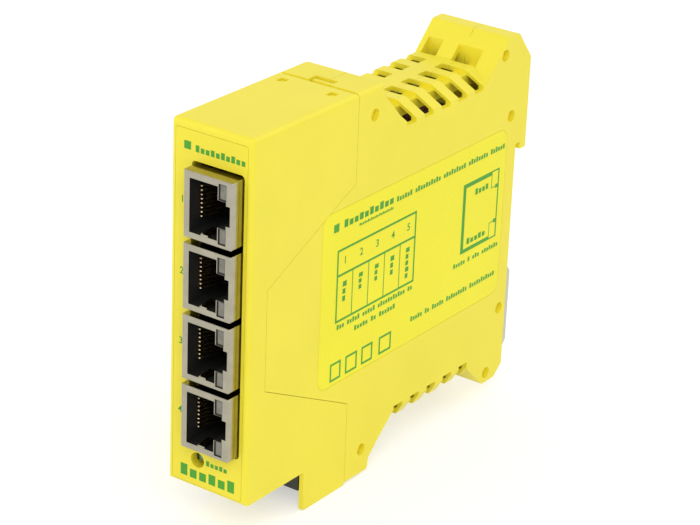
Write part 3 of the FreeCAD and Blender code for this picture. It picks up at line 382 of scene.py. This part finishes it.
@dataclass(frozen=True)
class MouldedPlastic(Finish):
    """Injection-moulded plastic, or a printed film with a fine satin texture."""

    shade: float = 0.94
    fineness: float = 4200.0
    spread: float = 0.12
    grain: float = 0.25
    depth: float = 0.02
    specular: float = 0.5

    def material(self) -> bpy.types.Material:
        """Builds the material."""
        made, graph, shader = self.start(Specular_IOR_Level=self.specular)
        grain = EFFECTS.place(graph, "moulded_grain", {
            "Base": self.colour, "Shade": self.shade, "Fineness": self.fineness,
            "Roughness": self.roughness, "Spread": self.spread,
        })
        graph.join(grain.outputs["Colour"], shader.inputs["Base Color"])
        graph.join(grain.outputs["Roughness"], shader.inputs["Roughness"])
        self.relief(graph, shader, grain.outputs["Height"], self.grain, self.depth)
        return made


@dataclass(frozen=True)
class PlatedSheet(Finish):
    """Rolled and plated metal, satin or bright."""

    shade: float = 0.9
    spread: float = 0.2
    grain: float = 0.15
    depth: float = 0.01

    def material(self) -> bpy.types.Material:
        """Builds the material."""
        made, graph, shader = self.start(Metallic=1.0)
        sheet = EFFECTS.place(graph, "rolled_sheet", {
            "Base": self.colour, "Shade": self.shade, "Roughness": self.roughness, "Spread": self.spread,
        })
        graph.join(sheet.outputs["Colour"], shader.inputs["Base Color"])
        graph.join(sheet.outputs["Roughness"], shader.inputs["Roughness"])
        self.relief(graph, shader, sheet.outputs["Height"], self.grain, self.depth)
        return made


@dataclass(frozen=True)
class FilledCompound(Finish):
    """Dark moulding compound or ferrite with mineral specks."""

    speck: Colour = (0.09, 0.09, 0.09)
    size: float = 5200.0
    amount: float = 0.16
    grain: float = 0.3
    depth: float = 0.02

    def material(self) -> bpy.types.Material:
        """Builds the material."""
        made, graph, shader = self.start()
        specks = EFFECTS.place(graph, "filler_specks", {
            "Base": self.colour, "Speck": self.speck, "Size": self.size, "Amount": self.amount,
        })
        graph.join(specks.outputs["Colour"], shader.inputs["Base Color"])
        self.relief(graph, shader, specks.outputs["Height"], self.grain, self.depth)
        return made


@dataclass(frozen=True)
class ClearResin(Finish):
    """Clear or tinted resin that lets part of the light through."""

    clearness: float = 0.5
    index: float = 1.5
    haze: float = 600.0
    haze_shade: float = 0.8

    def material(self) -> bpy.types.Material:
        """Builds the material, with a faint cloud in the resin's colour."""
        made, graph, shader = self.start(Transmission_Weight=self.clearness, IOR=self.index)
        cloud = graph.add("ShaderNodeTexNoise", {"Scale": self.haze, "Detail": 2.0})
        graph.join(graph.object_place(), cloud.inputs["Vector"])
        tone = graph.between(cloud.outputs["Fac"], 0.4, 0.6)
        colour = graph.blend(tone, self.colour, darker(self.colour, self.haze_shade))
        graph.join(colour, shader.inputs["Base Color"])
        return made


@dataclass(frozen=True)
class CircuitBoard(Finish):
    """Solder mask over copper: a lighter net of tracks, and pale laminate at the cut edges."""

    track: Colour = (0.03, 0.17, 0.07)
    laminate: Colour = (0.42, 0.38, 0.16)
    faces: Span = (-6.1, -4.5)
    edge_margin: float = 0.05
    cells: float = 420.0
    rings: float = 9.0
    track_level: float = 0.55

    def material(self) -> bpy.types.Material:
        """Builds the material."""
        made, graph, shader = self.start(Coat_Weight=0.35)
        turned = graph.add("ShaderNodeMapping", {"Rotation": (0.0, math.radians(90.0), 0.0)})
        graph.join(graph.object_place(), turned.inputs["Vector"])
        squares = {"Scale": self.cells, "Randomness": 0.75}
        cells = graph.add("ShaderNodeTexVoronoi", squares, distance="CHEBYCHEV", feature="F1")
        graph.join(turned.outputs[0], cells.inputs["Vector"])
        rings = graph.math("PINGPONG", graph.math("MULTIPLY", cells.outputs["Distance"], self.rings), 1.0)
        tracks = graph.math("GREATER_THAN", rings, self.track_level)
        mask = graph.blend(tracks, self.colour, self.track)
        across = graph.object_axes()["X"]
        above = graph.math("GREATER_THAN", across, (self.faces[0] + self.edge_margin) * MM)
        below = graph.math("LESS_THAN", across, (self.faces[1] - self.edge_margin) * MM)
        edge = graph.math("MULTIPLY", above, below)
        graph.join(graph.blend(edge, mask, self.laminate), shader.inputs["Base Color"])
        self.relief(graph, shader, tracks, 0.2, 0.03)
        return made


@dataclass(frozen=True)
class CapacitorCan(Finish):
    """Bright can whose lacquered top carries a dark polarity field."""

    field: Colour = (0.02, 0.02, 0.022)
    top: float = 6.9
    field_edge: float = -23.6

    def material(self) -> bpy.types.Material:
        """Builds the material."""
        made, graph, shader = self.start(Metallic=1.0)
        axes = graph.object_axes()
        upper = graph.math("GREATER_THAN", axes["X"], self.top * MM)
        marked = graph.math("LESS_THAN", axes["Z"], self.field_edge * MM)
        field = graph.math("MULTIPLY", upper, marked)
        sheet = EFFECTS.place(graph, "rolled_sheet", {"Base": self.colour, "Roughness": self.roughness})
        graph.join(graph.blend(field, sheet.outputs["Colour"], self.field), shader.inputs["Base Color"])
        graph.join(graph.between(field, 0.0, 1.0, (1.0, 0.0)), shader.inputs["Metallic"])
        graph.join(sheet.outputs["Roughness"], shader.inputs["Roughness"])
        return made


@dataclass(frozen=True)
class WoundFerrite(Finish):
    """Ferrite flanges with enamelled copper wound between them; each turn has painted shade, darker towards
    the grooves between turns.
    """

    wire: Colour = (0.33, 0.09, 0.03)
    turns: Span = (-3.3, 2.3)
    wire_size: float = 0.5
    # share of the wire colour left where shade is painted in the grooves between turns
    wire_shade: float = 0.25
    wire_roughness: float = 0.25
    wire_depth: float = 0.2

    def material(self) -> bpy.types.Material:
        """Builds the material."""
        made, graph, shader = self.start()
        along = graph.object_axes()["X"]
        above = graph.math("GREATER_THAN", along, self.turns[0] * MM)
        below = graph.math("LESS_THAN", along, self.turns[1] * MM)
        inside = graph.math("MULTIPLY", above, below)
        # painted shade: one wave across the turns darkens the wire towards the grooves between them, and
        # also gives their bump
        wave = graph.sine(graph.math("MULTIPLY", along, 2 * math.pi / (self.wire_size * MM)))
        turn_bump_and_painted_shade = graph.between(wave, -1.0, 1.0)
        wire = graph.blend(turn_bump_and_painted_shade, darker(self.wire, self.wire_shade), self.wire)
        graph.join(graph.blend(inside, self.colour, wire), shader.inputs["Base Color"])
        roughness = graph.between(inside, 0.0, 1.0, (self.roughness, self.wire_roughness))
        graph.join(roughness, shader.inputs["Roughness"])
        self.relief(graph, shader, graph.math("MULTIPLY", turn_bump_and_painted_shade, inside), 0.8, self.wire_depth)
        return made


@dataclass(frozen=True)
class PrintedInk(Finish):
    """Screen-printed ink: thin, matt and slightly uneven."""

    shade: float = 0.85
    fineness: float = 6500.0
    spread: float = 0.15

    def material(self) -> bpy.types.Material:
        """Builds the material."""
        made, graph, shader = self.start(Specular_IOR_Level=0.3)
        grain = EFFECTS.place(graph, "moulded_grain", {
            "Base": self.colour, "Shade": self.shade, "Fineness": self.fineness,
            "Roughness": self.roughness, "Spread": self.spread,
        })
        graph.join(grain.outputs["Colour"], shader.inputs["Base Color"])
        graph.join(grain.outputs["Roughness"], shader.inputs["Roughness"])
        return made


class Palette(Enum):
    """The finishes of the switch, by the record's slots, and the inks and solder."""

    housing = MouldedPlastic("housing", (0.91, 0.785, 0.035), 0.46)
    front_film = MouldedPlastic("front_film", (0.90, 0.77, 0.03), 0.38, grain=0.12, fineness=7000.0)
    label_film = MouldedPlastic(
        "label_film", (0.93, 0.85, 0.008), 0.36, grain=0.1, fineness=1500.0, specular=0.35
    )
    circuit_board = CircuitBoard("circuit_board", (0.008, 0.07, 0.03), 0.35)
    chip_mould = FilledCompound("chip_mould", (0.022, 0.022, 0.024), 0.55)
    can_metal = PlatedSheet("can_metal", (0.68, 0.68, 0.66), 0.25)
    ferrite = WoundFerrite("ferrite", (0.05, 0.045, 0.042), 0.6)
    capacitor_sleeve = CapacitorCan("capacitor_sleeve", (0.72, 0.73, 0.75), 0.28)
    lamp_epoxy = ClearResin("lamp_epoxy", (0.30, 0.52, 0.28), 0.15, clearness=0.45)
    header_mould = MouldedPlastic("header_mould", (0.018, 0.018, 0.017), 0.42)
    tinned_metal = PlatedSheet("tinned_metal", (0.72, 0.71, 0.68), 0.22)
    catch_mould = MouldedPlastic("catch_mould", (0.58, 0.595, 0.51), 0.42, fineness=5000.0)
    spring_steel = PlatedSheet("spring_steel", (0.50, 0.50, 0.50), 0.2)
    socket_shield = PlatedSheet("socket_shield", (0.42, 0.39, 0.30), 0.1, spread=0.06)
    socket_mould = MouldedPlastic("socket_mould", (0.012, 0.012, 0.011), 0.5)
    contact_gold = PlatedSheet("contact_gold", (0.84, 0.62, 0.30), 0.22)
    # paler copy of the contacts' gold: its gold is real plating, its paleness a painted highlight on the
    # bends
    bend_gold = PlatedSheet("bend_gold", (0.95, 0.85, 0.66), 0.3, grain=0.02)
    light_pipe = ClearResin("light_pipe", (0.28, 0.265, 0.21), 0.18, clearness=0.25)
    green_ink = PrintedInk("green_ink", (0.075, 0.38, 0.03), 0.5)
    ceramic = FilledCompound("ceramic", (0.32, 0.22, 0.13), 0.45, speck=(0.4, 0.3, 0.2))
    resistor_glaze = FilledCompound("resistor_glaze", (0.02, 0.02, 0.022), 0.3)
    solder = PlatedSheet("solder", (0.66, 0.66, 0.64), 0.18, grain=0.05)


class Wardrobe:
    """Builds each finish once and hands out its material."""

    def __init__(self) -> None:
        """Starts empty."""
        self.made: dict[Palette, bpy.types.Material] = {}

    def take(self, finish: Palette) -> bpy.types.Material:
        """Returns the finish's material, built at its first use."""
        if finish not in self.made:
            self.made[finish] = finish.value.material()
        return self.made[finish]

    def dress_frame(self) -> None:
        """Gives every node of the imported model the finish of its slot."""
        for part in frame["record"]["subparts"]:
            node = frame["nodes"][part["node"]]
            material = self.take(Palette[part["material_slot"]])
            if not node.material_slots:
                node.data.materials.append(material)
            for slot in node.material_slots:
                slot.material = material
            LOG.info("%s wears %s", part["node"], material.name)


WARDROBE = Wardrobe()


class Sheet:
    """A bmesh that gathers the shapes of one new piece, in millimetres until it is placed."""

    def __init__(self, name: str, finishes: Iterable[Palette]) -> None:
        """Starts an empty piece.

        Args:
            name: name of the piece.
            finishes: its finishes, in the order of the material numbers.
        """
        self.name = name
        self.finishes = list(finishes)
        self.mesh = bmesh.new()

    def block(self, low: Vector, high: Vector, finish: int = 0, bevel: float = 0.0) -> None:
        """Adds a box, with rounded edges if a bevel is given.

        Args:
            low: its lowest corner.
            high: its highest corner.
            finish: number of its finish.
            bevel: width of the bevel.
        """
        made = bmesh.ops.create_cube(self.mesh, size=1.0)
        corners = made["verts"]
        size = high - low
        bmesh.ops.scale(self.mesh, vec=size, verts=corners)
        bmesh.ops.translate(self.mesh, vec=(low + high) / 2, verts=corners)
        faces = {face for corner in corners for face in corner.link_faces}
        for face in faces:
            face.material_index = finish
        if bevel:
            edges = list({edge for corner in corners for edge in corner.link_edges})
            bmesh.ops.bevel(
                self.mesh, geom=edges, offset=bevel, affect="EDGES", segments=2, profile=0.5, material=-1
            )

    def dome(self, centre: Vector, axis: Vector, radius: float, height: float, finish: int = 0) -> None:
        """Adds a low fillet of solder round a pin.

        Args:
            centre: middle of its foot.
            axis: direction it stands in.
            radius: radius of its foot.
            height: height of its top.
            finish: number of its finish.
        """
        made = bmesh.ops.create_cone(
            self.mesh, cap_ends=True, segments=12, radius1=radius, radius2=radius * DOME_TOP, depth=height
        )
        turn = Vector((0, 0, 1)).rotation_difference(axis).to_matrix().to_4x4()
        place = Matrix.Translation(centre + axis * height / 2) @ turn
        bmesh.ops.transform(self.mesh, matrix=place, verts=made["verts"])
        for face in {face for corner in made["verts"] for face in corner.link_faces}:
            face.material_index = finish

    def ball(self, centre: Vector, radius: float) -> None:
        """Adds a small sphere.

        Args:
            centre: its middle.
            radius: its radius.
        """
        made = bmesh.ops.create_uvsphere(self.mesh, u_segments=12, v_segments=8, radius=radius)
        bmesh.ops.translate(self.mesh, vec=centre, verts=made["verts"])

    def finish_piece(self, body: str, slot: str) -> bpy.types.Object:
        """Makes the object, in metres, and lets it ride.

        Args:
            body: the body that it moves with.
            slot: not used.

        Returns:
            The new object.
        """
        bmesh.ops.scale(self.mesh, vec=(MM, MM, MM), verts=self.mesh.verts)
        bmesh.ops.recalc_face_normals(self.mesh, faces=self.mesh.faces)
        data = bpy.data.meshes.new(self.name)
        self.mesh.to_mesh(data)
        self.mesh.free()
        for finish in self.finishes:
            data.materials.append(WARDROBE.take(finish))
        piece = bpy.data.objects.new(self.name, data)
        bpy.context.scene.collection.objects.link(piece)
        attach(piece, body)
        LOG.info("%s: %d faces on %s", self.name, len(data.polygons), body)
        return piece


class Face(Enum):
    """The two printed faces: (across, up, outwards) directions as a reader stands before them."""

    RIGHT_SIDE = (Vector((0, 1, 0)), Vector((0, 0, 1)), Vector((1, 0, 0)))
    FRONT = (Vector((1, 0, 0)), Vector((0, 0, 1)), Vector((0, -1, 0)))


@dataclass
class Print:
    """Ink laid on one face: bars, frames and plain numbers."""

    name: str
    face: Face
    level: float
    thickness: float = 0.02
    finish: Palette = Palette.green_ink

    def __post_init__(self) -> None:
        """Starts the ink's mesh."""
        self.sheet = Sheet(self.name, [self.finish])

    def _point(self, across: float, up: float, out: float) -> Vector:
        """Returns a point of the face, with out measured off its film."""
        right, top, away = self.face.value
        return right * across + top * up + away * (self.level + out)

    def bar(self, across: Span, up: Span) -> None:
        """Prints a filled rectangle."""
        first = self._point(across[0], up[0], 0.0)
        last = self._point(across[1], up[1], self.thickness)
        low = Vector(map(min, first, last))
        high = Vector(map(max, first, last))
        self.sheet.block(low, high)

    def frame(self, across: Span, up: Span, line: float) -> None:
        """Prints a rectangle's outline, its lines inside the given limits."""
        self.bar(across, (up[0], up[0] + line))
        self.bar(across, (up[1] - line, up[1]))
        self.bar((across[0], across[0] + line), (up[0] + line, up[1] - line))
        self.bar((across[1] - line, across[1]), (up[0] + line, up[1] - line))

    def words(
        self, run: Span, base: float, height: float, lengths: tuple[int, ...], upright: bool = True
    ) -> None:
        """Prints plain strokes where a line of words would stand, one stroke for each letter.

        Args:
            run: where the line begins and ends.
            base: where the feet of its strokes stand.
            height: height of its tallest strokes.
            lengths: number of strokes in each word, with a gap of one stroke between words.
            upright: whether the line runs across the face instead of down it.
        """
        unit = (run[1] - run[0]) / (sum(lengths) + len(lengths) - 1)
        place = run[0]
        count = 0
        for length in lengths:
            for _ in range(length):
                tall = height * STROKE_HEIGHTS[count % len(STROKE_HEIGHTS)]
                edges = sorted((place + unit * STROKE_GAP, place + unit * (1.0 - STROKE_GAP)))
                span = (base, base + tall)
                if upright:
                    self.bar(edges, span)
                else:
                    self.bar(span, edges)
                place += unit
                count += 1
            place += unit

    def number(self, value: int, across: float, up: float, height: float) -> None:
        """Prints a plain number, centred.

        Args:
            value: the number.
            across: its centre across the face.
            up: its centre's height.
            height: height of its digits.
        """
        text = bpy.data.curves.new(f"{self.name}_{value}", "FONT")
        text.body = str(value)
        text.align_x, text.align_y = "CENTER", "CENTER"
        text.size = height * DIGIT_SIZE
        text.resolution_u = 3
        text.offset = height * DIGIT_WEIGHT
        text.extrude = self.thickness / 2
        shape = bpy.data.objects.new(text.name, text)
        bpy.context.scene.collection.objects.link(shape)
        bpy.context.view_layer.update()
        flat = bpy.data.meshes.new_from_object(shape)
        bpy.data.objects.remove(shape)
        bpy.data.curves.remove(text)
        right, top, away = self.face.value
        turn = Matrix((right, top, away)).transposed().to_4x4()
        flat.transform(Matrix.Translation(self._point(across, up, self.thickness / 2)) @ turn)
        self.sheet.mesh.from_mesh(flat)
        for face in self.sheet.mesh.faces:
            face.material_index = 0
        bpy.data.meshes.remove(flat)


@dataclass(frozen=True)
class WordLine:
    """One printed line: where it runs, where its strokes stand, their height, and each word's letters."""

    run: Span
    base: float
    height: float
    lengths: tuple[int, ...]

    def print_on(self, ink: Print) -> None:
        """Prints the line."""
        ink.words(self.run, self.base, self.height, self.lengths)


@dataclass(frozen=True)
class SocketFigure:
    """Picture of one socket's mouth, with its two lights and the words inside it."""

    across: Span = (-22.5, -6.7)
    up: Span = (-4.8, 13.5)
    back_line: float = 1.2
    top_line: float = 1.1
    bottom_line: float = 1.0
    thin_line: float = 0.4
    mouth_line: float = 0.5
    mouth_depth: float = 3.4
    light_line: float = 0.25
    light_height: float = 4.0
    shelf_line: float = 0.2
    pad_length: float = 1.1
    pad_margin: float = 0.4
    lines: tuple[WordLine, ...] = (
        WordLine((-17.4, -11.3), 9.4, 1.6, (4,)),
        WordLine((-20.1, -11.6), -2.9, 1.6, (5,)),
    )

    def print_on(self, ink: Print) -> None:
        """Prints the figure: the outline, then the lights at the mouth's two ends."""
        (left, right), (bottom, top) = self.across, self.up
        inner = left + self.back_line
        step = right - self.mouth_depth
        low = bottom + self.thin_line
        high = top - self.thin_line
        ink.bar((left, inner), (bottom, top))
        ink.bar((inner, step), (top - self.top_line, top))
        ink.bar((inner, step), (bottom, bottom + self.bottom_line))
        ink.bar((step, right), (high, top))
        ink.bar((step, right), (bottom, low))
        mouth = right - self.mouth_line
        ink.bar((mouth, right), (low, high))
        for span in ((high - self.light_height, high), (low, low + self.light_height)):
            ink.bar((step, step + self.light_line), span)
        pad = mouth - self.pad_length
        for level in (high - self.light_height - self.shelf_line, low + self.light_height):
            shelf = level + self.shelf_line
            ink.bar((step, pad), (level, shelf))
            ink.bar((pad, mouth), (level - self.pad_margin, shelf + self.pad_margin))
        for line in self.lines:
            line.print_on(ink)


@dataclass
class SideLabel:
    """Printing on the right side: wiring table, socket figure and lines of information."""

    node: str = "side_label"
    figure: SocketFigure = SocketFigure()
    mark: tuple[Span, Span] = ((-75.6, -73.6), (18.1, 20.1))
    lines: tuple[WordLine, ...] = (
        WordLine((-71.9, -52.1), 18.3, 1.9, (10,)),
        WordLine((-65.8, -52.2), 16.8, 0.7, (21,)),
        WordLine((-51.1, -4.9), 18.15, 1.35, (6, 10, 9, 8, 6)),
        WordLine((-73.3, -42.8), -6.85, 1.25, (3, 5, 5, 11, 2)),
        WordLine((-66.3, -49.7), -9.4, 1.25, (5, 2, 6)),
        WordLine((-25.3, -5.4), -7.75, 1.2, (5, 1, 3, 7)),
        WordLine((-43.0, -6.2), -15.5, 1.3, (5, 2, 5, 9, 11)),
    )
    frame_line: float = 0.55
    symbols: tuple[Span, ...] = ((-75.2, -71.0), (-69.2, -64.6), (-62.8, -58.4), (-55.8, -50.8))
    symbol_z: Span = (-19.6, -15.0)

    # wiring table: limits, line below its head, and for each column the run and letters of its word
    table_y: Span = (-73.9, -42.4)
    table_z: Span = (-5.0, 13.3)
    divider: float = 6.75
    column_line: float = 0.3
    digit_height: float = 1.9
    column_words: tuple[tuple[float, int], ...] = ((5.5, 3), (4.5, 3), (4.6, 3), (5.3, 3), (8.3, 5))
    word_drop: float = 1.7
    word_shift: float = 0.65
    word_height: float = 1.5

    def build(self) -> None:
        """Prints the whole label."""
        ink = Print("label_print", Face.RIGHT_SIDE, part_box(self.node)[1].x / MM)
        self._table(ink)
        self.figure.print_on(ink)
        ink.bar(*self.mark)
        for line in self.lines:
            line.print_on(ink)
        for span in self.symbols:
            ink.frame(span, self.symbol_z, self.frame_line)
        ink.sheet.finish_piece("switch", "label_film")

    def _table(self, ink: Print) -> None:
        """Prints the wiring table, with a number over each column."""
        ink.frame(self.table_y, self.table_z, self.frame_line)
        start, end = self.table_y
        half = self.frame_line / 2
        inner = (start + self.frame_line, end - self.frame_line)
        ink.bar(inner, (self.divider - half, self.divider + half))
        step = (end - start) / len(self.column_words)
        body = (self.table_z[0] + self.frame_line, self.divider - half)
        head = (self.divider + self.table_z[1]) / 2
        top = self.divider - self.word_drop
        for column, (length, letters) in enumerate(self.column_words):
            line = start + step * column
            centre = line + step / 2
            ink.number(column + 1, centre, head, self.digit_height)
            if column:
                ink.bar((line - self.column_line / 2, line + self.column_line / 2), body)
            run = (top, top - length)
            ink.words(run, centre - self.word_shift, self.word_height, (letters,), upright=False)


@dataclass
class FrontPrint:
    """Printing on the front film: strokes above, port numbers, and broad blocks below."""

    node: str = "front_overlay"
    mark: tuple[Span, Span] = ((-7.6, -5.7), (42.9, 44.8))
    lines: tuple[WordLine, ...] = (
        WordLine((-4.6, 9.4), 42.8, 1.6, (10,)),
        WordLine((-0.3, 6.0), -32.5, 1.35, (5,)),
        WordLine((-7.9, 8.4), -36.9, 2.9, (6,)),
    )
    number_x: float = -7.9
    number_drop: float = 1.2
    digit_height: float = 1.7

    def build(self) -> None:
        """Prints the film."""
        level = -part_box(self.node)[0].y / MM
        ink = Print("front_print", Face.FRONT, level)
        ink.bar(*self.mark)
        for line in self.lines:
            line.print_on(ink)
        for port in range(1, 5):
            low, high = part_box(f"jack_shield_{port}")
            centre = (low.z + high.z) / 2 / MM
            ink.number(port, self.number_x, centre - self.number_drop, self.digit_height)
        ink.sheet.finish_piece("switch", "front_film")


@dataclass
class ContactBends:
    """Polished front bends of the sockets' contact wires, in a paler copy of the contacts' gold that paints
    their highlights.
    """

    sockets: int = 4
    wires: int = 8
    pitch: float = 1.02
    radius: float = 0.2
    set_in: Span = (0.75, 0.25)

    def build(self) -> None:
        """Places one rounded bend on each wire."""
        for port in range(1, self.sockets + 1):
            low, high = (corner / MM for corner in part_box(f"jack_contacts_{port}"))
            # the paler gold paints the bends' highlights
            bends = Sheet(f"contact_bends_{port}", [Palette.bend_gold])
            for wire in range(self.wires):
                level = (low.z + high.z) / 2 + (wire - (self.wires - 1) / 2) * self.pitch
                centre = Vector((low.x + self.set_in[0], low.y + self.set_in[1], level))
                bends.ball(centre, self.radius)
            bends.finish_piece("switch", "contact_gold")


@dataclass(frozen=True)
class ChipShape:
    """A small two-ended component, in the board's depth, height and rise."""

    finish: int
    rise: float
    half: Vector = Vector((0.0, 0.9, 0.62))
    bevel: float = 0.06
    cap_place: float = 1.0
    cap_half: Vector = Vector((0.0, 0.25, 0.66))
    cap_rise: float = 0.03
    cap_bevel: float = 0.08

    def add_to(self, parts: Sheet, centre: Vector, solder: int) -> None:
        """Adds the chip with its end caps.

        Args:
            parts: the piece it joins.
            centre: middle of its foot.
            solder: number of the finish of its caps.
        """
        top = Vector((self.rise, 0.0, 0.0))
        parts.block(centre - self.half, centre + self.half + top, self.finish, self.bevel)
        cap_top = Vector((self.rise + self.cap_rise, 0.0, 0.0))
        for side in (-1, 1):
            cap = centre + Vector((0.0, side * self.cap_place, 0.0))
            parts.block(cap - self.cap_half, cap + self.cap_half + cap_top, solder, self.cap_bevel)


RESISTOR = ChipShape(finish=0, rise=0.5)
CAPACITOR = ChipShape(finish=1, rise=0.85)


@dataclass
class BoardFittings:
    """Small fittings soldered to the board: resistors, capacitors and the header's joints."""

    node: str = "main_board"
    rows: tuple[tuple[float, float, int, ChipShape], ...] = (
        (-60.5, -6.0, 5, CAPACITOR),
        (-60.5, -16.0, 4, RESISTOR),
        (-52.0, 18.0, 3, CAPACITOR),
        (-38.0, 8.0, 5, RESISTOR),
        (-45.5, 31.5, 4, RESISTOR),
        (-38.5, 31.5, 4, CAPACITOR),
        (-31.5, 31.5, 3, RESISTOR),
        (-16.0, 8.0, 5, CAPACITOR),
        (-22.0, -8.0, 4, RESISTOR),
        (-22.0, -27.0, 3, CAPACITOR),
        (-70.0, 38.0, 3, RESISTOR),
        (-70.0, -24.0, 4, CAPACITOR),
    )
    step: float = 2.3
    solder: int = 2
    poles: int = 5
    pin_first: float = 4.5
    pin_step: float = 1.8
    joint_radius: float = 0.95
    joint_height: float = 0.45

    def build(self) -> None:
        """Places the chips in short rows and a joint round each header pin."""
        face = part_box(self.node)[1].x / MM
        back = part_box(self.node)[0].x / MM
        parts = Sheet("board_fittings", [Palette.resistor_glaze, Palette.ceramic, Palette.solder])
        for y, z, count, chip in self.rows:
            for place in range(count):
                chip.add_to(parts, Vector((face, y, z - place * self.step)), self.solder)
        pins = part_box("header_pins")
        y = (pins[0].y + pins[1].y) / 2 / MM
        for level in self._pin_levels():
            for x, side in ((face, 1), (back, -1)):
                foot, axis = Vector((x, y, level)), Vector((side, 0, 0))
                parts.dome(foot, axis, self.joint_radius, self.joint_height, self.solder)
        parts.finish_piece("switch", "circuit_board")

    def _pin_levels(self) -> list[float]:
        """Returns the heights at which the header's pins meet the board."""
        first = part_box("terminal_header")[1].z / MM + self.pin_first
        return [first + self.pin_step * place for place in range(self.poles)]


@dataclass(frozen=True)
class Lamp:
    """A round soft lamp: its place and width in metres, and its power in watts."""

    place: Vector
    width: float
    power: float

    def build(self, name: str, aim: Vector) -> None:
        """Hangs the lamp, turned towards a point."""
        light = bpy.data.lights.new(name, "AREA")
        light.shape = "DISK"
        light.size = self.width
        light.energy = self.power
        rig = bpy.data.objects.new(name, light)
        rig.location = self.place
        rig.rotation_mode = "QUATERNION"
        rig.rotation_quaternion = (aim - self.place).to_track_quat("-Z", "Y")
        bpy.context.scene.collection.objects.link(rig)


class Tone(Enum):
    """The studio's lamps."""

    KEY = Lamp(Vector((0.55, -0.75, 0.75)), 0.7, 4.6)
    FILL = Lamp(Vector((-0.85, -0.55, 0.30)), 0.8, 2.0)
    BACK = Lamp(Vector((0.35, 0.75, 0.60)), 0.7, 1.8)


@dataclass
class Studio:
    """Pale floor, white surroundings and soft lamps."""

    aim: Vector = Vector((0.0, -0.05, 0.0))
    floor_radius: float = 6.0
    floor_gap: float = 0.0002
    floor_roughness: float = 0.9
    floor_colour: Colour = (0.93, 0.93, 0.93)
    seen_colour: Colour = (0.6, 0.6, 0.6)
    floor_glow: float = 0.5
    ambient: float = 0.66

    def build(self) -> None:
        """Builds the floor, the world and the lamps."""
        self._floor()
        self._world()
        for lamp in Tone:
            lamp.value.build(lamp.name.lower(), self.aim)
        LOG.info("studio ready")

    @staticmethod
    def _seen_directly(graph: Graph) -> Socket:
        """Returns a mask of camera, glossy and transmitted rays."""
        path = graph.add("ShaderNodeLightPath")
        seen = graph.math("MAXIMUM", path.outputs["Is Camera Ray"], path.outputs["Is Glossy Ray"])
        return graph.math("MAXIMUM", seen, path.outputs["Is Transmission Ray"])

    def _floor(self) -> None:
        """Lays a broad floor under the lowest point, white where nothing shades it."""
        mesh = bmesh.new()
        bmesh.ops.create_circle(mesh, cap_ends=True, segments=64, radius=self.floor_radius)
        bmesh.ops.translate(mesh, vec=(0, 0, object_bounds()[0].z - self.floor_gap), verts=mesh.verts)
        data = bpy.data.meshes.new("floor")
        mesh.to_mesh(data)
        mesh.free()
        material = bpy.data.materials.new("floor")
        material.use_nodes = True
        graph = Graph(material.node_tree)
        shader = material.node_tree.nodes["Principled BSDF"]
        shader.inputs["Roughness"].default_value = self.floor_roughness
        shader.inputs["Emission Color"].default_value = rgba(WHITE)
        seen = self._seen_directly(graph)
        graph.join(graph.blend(seen, self.floor_colour, self.seen_colour), shader.inputs["Base Color"])
        graph.join(graph.between(seen, 0.0, 1.0, (0.0, self.floor_glow)), shader.inputs["Emission Strength"])
        data.materials.append(material)
        floor = bpy.data.objects.new("floor", data)
        bpy.context.scene.collection.objects.link(floor)
        floor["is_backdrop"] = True

    def _world(self) -> None:
        """Lights the scene evenly, and shows white to the camera and in reflections."""
        world = bpy.data.worlds.new("surroundings")
        world.use_nodes = True
        graph = Graph(world.node_tree)
        background = world.node_tree.nodes["Background"]
        background.inputs["Color"].default_value = rgba(WHITE)
        strength = graph.between(self._seen_directly(graph), 0.0, 1.0, (self.ambient, 1.0))
        graph.join(strength, background.inputs["Strength"])
        bpy.context.scene.world = world


@dataclass
class ViewPoint:
    """Camera before the right front corner, a little above, rolled by two degrees."""

    aim: Vector = Vector((5.737, -61.0, 4.517)) * MM
    distance: float = 599.9 * MM
    azimuth: float = 35.17
    elevation: float = 23.83
    roll: float = 2.3156
    lens: float = 132.64
    sensor: float = 36.0

    def build(self) -> None:
        """Makes the camera and gives it to the scene."""
        turn, rise, tilt = (math.radians(angle) for angle in (self.azimuth, self.elevation, self.roll))
        back = Vector((math.sin(turn) * math.cos(rise), -math.cos(turn) * math.cos(rise), math.sin(rise)))
        level = Vector((math.cos(turn), math.sin(turn), 0.0))
        upward = back.cross(level)
        right = level * math.cos(tilt) + upward * math.sin(tilt)
        top = upward * math.cos(tilt) - level * math.sin(tilt)
        lens = bpy.data.cameras.new("view_point")
        lens.lens = self.lens
        lens.sensor_width = self.sensor
        lens.clip_start = 0.01
        lens.clip_end = 50.0
        camera = bpy.data.objects.new("view_point", lens)
        place = Matrix((right, top, back)).transposed().to_4x4()
        camera.matrix_world = Matrix.Translation(self.aim + back * self.distance) @ place
        bpy.context.scene.collection.objects.link(camera)
        bpy.context.scene.camera = camera
        LOG.info("camera ready")


def corners(box: tuple[Vector, Vector]) -> list[list[float]]:
    """Returns a box as plain lists of numbers."""
    return [list(map(float, corner)) for corner in box]


def main() -> None:
    """Dresses the frame, adds the printing and fittings, and sets up the studio."""
    logging.basicConfig(level=logging.INFO, format="%(message)s")
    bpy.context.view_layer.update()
    bpy.context.scene.view_settings.view_transform = "Standard"
    ViewPoint().build()
    Studio().build()
    WARDROBE.dress_frame()
    for part in (SideLabel(), FrontPrint(), ContactBends(), BoardFittings()):
        part.build()


if __name__ == "__main__":
    main()
